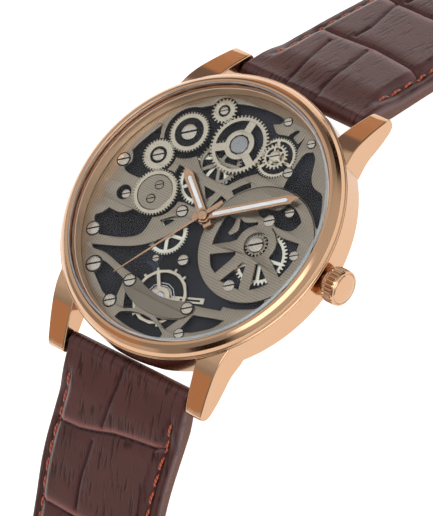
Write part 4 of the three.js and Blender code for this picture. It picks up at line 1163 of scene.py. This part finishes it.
def stitch_mesh(half, side, first, last):
    """Two rows of slanted stitches that lie in the groove along each edge."""
    vertices, faces = [], []
    sides, rings = 8, 9
    for edge in (-1, 1):
        for start in np.arange(first, last, STITCH_PITCH):
            t = np.linspace(0, 1, rings)
            along = start + STITCH_LENGTH * t
            across = edge * (half.half_width(along) - STITCH_INSET - 0.12 * (t - 0.5))
            up, _, _ = half.top(along, across)
            lift = 0.22 * np.sin(math.pi * t) - 0.02
            centre = half.point(along, across, up + lift, side)
            radius = STITCH_RADIUS * np.sqrt(np.clip(1 - (2 * t - 1) ** 4, 0.02, 1))
            base = len(vertices)
            for middle, size in zip(centre, radius):
                for k in range(sides):
                    angle = 2 * math.pi * k / sides
                    vertices.append(middle + size * np.array([math.cos(angle), 0, math.sin(angle)]))
            for ring in range(rings - 1):
                for k in range(sides):
                    a, b = base + ring * sides + k, base + ring * sides + (k + 1) % sides
                    faces.append([a, b, b + sides, a + sides])
            faces.append([base + k for k in range(sides)])
            faces.append([base + (rings - 1) * sides + k for k in range(sides)])
    return mesh_of("stitches", vertices, faces)


def hole_cutter(half, side, along):
    y, z, _ = strap_place(np.float64(along), half.straight)
    return moved(drum(HOLE_RADIUS, z - 4, z + 4, 32), shift(0, side * y))


def slot_cutter(half, side):
    """The tongue's slot, in the strap's end."""
    y, z, _ = strap_place(np.float64(half.length), half.straight)
    return prism(rounded(box_outline(*SLOT_HALF, side * y), 0.8, 4), z - 3, z + 3)


def add_strap():
    short_lines = crocodile(SHORT_ROWS, SHORT_SPLITS, SHORT_LENGTH, SHORT_SEED)
    long_lines = crocodile(LONG_ROWS, LONG_SPLITS, LONG_LENGTH, LONG_SEED)
    short = StrapHalf(SHORT_STRAIGHT, SHORT_LENGTH, short_lines, SHORT_SWAY, pointed=False)
    long = StrapHalf(LONG_STRAIGHT, LONG_LENGTH, long_lines, LONG_SWAY, pointed=True)
    holes = [hole_cutter(long, -1, along) for along in HOLES]
    halves = [("strap_12", short, 1, [slot_cutter(short, 1)], SHORT_STITCHES),
              ("strap_6", long, -1, holes, LONG_STITCHES)]
    for name, half, side, cutters, stitches in halves:
        skin = combined(strap_mesh(half, side), (joined(cutters), "DIFFERENCE"))
        strap = place(name + "_leather", skin, name, [leather, lining], "leather", [name])
        place(name + "_stitching", stitch_mesh(half, side, *stitches), name, stitch_thread, "leather")
    for name, body in (("fixed_keeper", "strap_12"), ("free_keeper", "free_keeper")):
        place(name + "_leather", keeper_mesh(name), body, leather, "leather", [name])


def keeper_mesh(name):
    """A leather loop with rounded corners and edges, in its CAD node's box."""
    low, high = (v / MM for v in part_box(name))
    middle = (low + high) / 2
    half = (high - low) / 2
    section = [(0.0, -half.y + 0.35), (0.0, half.y - 0.35), (0.1, half.y - 0.12), (0.35, half.y),
               (KEEPER_WALL - 0.3, half.y), (KEEPER_WALL, half.y - 0.3), (KEEPER_WALL, -half.y + 0.3),
               (KEEPER_WALL - 0.3, -half.y), (0.35, -half.y), (0.1, -half.y + 0.12)]
    vertices = []
    for depth, y in section:
        loop = rounded(box_outline(half.x - depth, half.z - depth), 2.2 - depth, 6)
        vertices += [(middle.x + x, middle.y + y, middle.z + z) for x, z in loop]
    count = len(loop)
    faces = []
    for i in range(len(section)):
        j = (i + 1) % len(section)
        for k in range(count):
            m = (k + 1) % count
            faces.append([i * count + k, i * count + m, j * count + m, j * count + k])
    return mesh_of("keeper", vertices, faces)


def add_refined(node_name, material, slot, width, segments):
    """A copy of a CAD node with its flat faces merged and its edges rounded."""
    shape = bmesh.new()
    shape.from_mesh(frame["nodes"][node_name].data)
    bmesh.ops.remove_doubles(shape, verts=shape.verts, dist=WELD_DISTANCE)
    bmesh.ops.dissolve_limit(shape, angle_limit=math.radians(1), verts=shape.verts, edges=shape.edges)
    mesh = bpy.data.meshes.new(node_name)
    shape.to_mesh(mesh)
    shape.free()
    piece = place_finished(node_name, mesh, material, slot)
    bevelled(piece, width, segments, 28)
    mesh.shade_smooth()
    piece.modifiers.new("normals", "WEIGHTED_NORMAL")


# ---- Studio ----

def add_camera():
    azimuth, elevation, roll = (math.radians(v) for v in (CAMERA_AZIMUTH, CAMERA_ELEVATION, CAMERA_ROLL))
    back = Vector((math.sin(azimuth) * math.cos(elevation), -math.cos(azimuth) * math.cos(elevation),
                   math.sin(elevation)))
    right = Vector((0, 0, 1)).cross(back).normalized()
    up = back.cross(right)
    x_axis = math.cos(roll) * right + math.sin(roll) * up
    y_axis = -math.sin(roll) * right + math.cos(roll) * up
    data = bpy.data.cameras.new("camera")
    data.lens = CAMERA_LENS
    data.sensor_width = SENSOR_WIDTH
    data.clip_start = 0.05
    data.clip_end = 20
    camera = bpy.data.objects.new("camera", data)
    bpy.context.scene.collection.objects.link(camera)
    turn = Matrix((x_axis, y_axis, back)).transposed().to_4x4()
    camera.matrix_world = Matrix.Translation(CAMERA_PLACE) @ turn
    bpy.context.scene.camera = camera


def add_floor():
    half = FLOOR_SIZE / 2
    mesh = bpy.data.meshes.new("floor")
    mesh.from_pydata([(x, y, 0) for x, y in box_outline(half, half)], [], [(0, 1, 2, 3)])
    mesh.materials.append(floor_paper())
    floor = bpy.data.objects.new("floor", mesh)
    floor.location.z = cad_low.z - 0.0001
    bpy.context.scene.collection.objects.link(floor)


def add_studio():
    """World light: an even level with soft boxes and dark cards in given directions."""
    world = bpy.data.worlds.new("studio")
    world.use_nodes = True
    bpy.context.scene.world = world
    tree = world.node_tree
    tree.nodes.clear()
    direction = node(tree, "ShaderNodeTexCoord").outputs["Generated"]
    unit = node(tree, "ShaderNodeVectorMath", {0: direction}, operation="NORMALIZE").outputs[0]
    light = rgba(*WORLD_LIGHT)
    for towards, radius, softness, colour in STUDIO:
        axis = Vector(towards).normalized()
        facing = node(tree, "ShaderNodeVectorMath", {0: unit, 1: axis},
                      operation="DOT_PRODUCT").outputs["Value"]
        box = node(tree, "ShaderNodeMapRange", {
            "Value": facing, "From Min": math.cos(math.radians(radius + softness)),
            "From Max": math.cos(math.radians(radius)),
        }, interpolation_type="SMOOTHSTEP").outputs["Result"]
        light = mixed(tree, box, light, rgba(*colour))
    light = node(tree, "ShaderNodeBackground", {"Color": light, "Strength": 1.0})
    plain = node(tree, "ShaderNodeBackground", {"Color": rgba(1, 1, 1), "Strength": 1.0})
    seen = node(tree, "ShaderNodeLightPath").outputs["Is Camera Ray"]
    both = node(tree, "ShaderNodeMixShader", {0: seen, 1: light.outputs[0], 2: plain.outputs[0]})
    node(tree, "ShaderNodeOutputWorld", {"Surface": both.outputs[0]})
    bpy.context.scene.view_settings.view_transform = "Standard"


def finish_cad_nodes():
    """Materials of the CAD nodes that keep their own shape."""
    finishes = {
        "steel": steel, "brass": brass, "gasket": gasket_amber, "spacer": plastic, "rose_gold": rose_gold,
        "wheel_metal": wheel_finish, "plate_metal": plate_finish, "dark_plate": dark_plate,
        "black_steel": black_steel, "jewel": jewel, "lume": lume, "leather": leather,
        "crystal": crystal_glass,
    }
    for row in frame["record"]["subparts"]:
        shown = frame["nodes"][row["node"]]
        shown.data.materials.clear()
        shown.data.materials.append(finishes[row["material_slot"]])


finish_cad_nodes()
add_camera()
add_floor()
add_studio()
add_case_body()
add_case_rings()
add_crystal()
place("crown_finished", crown_mesh(), "crown", rose_gold, "rose_gold", ["crown"])
add_plates()
add_screws()
add_wheels()
add_balance()
add_hands()
add_strap()
add_refined("buckle_frame", rose_gold, "rose_gold", 0.5, 4)
add_refined("buckle_tongue", rose_gold, "rose_gold", 0.25, 3)
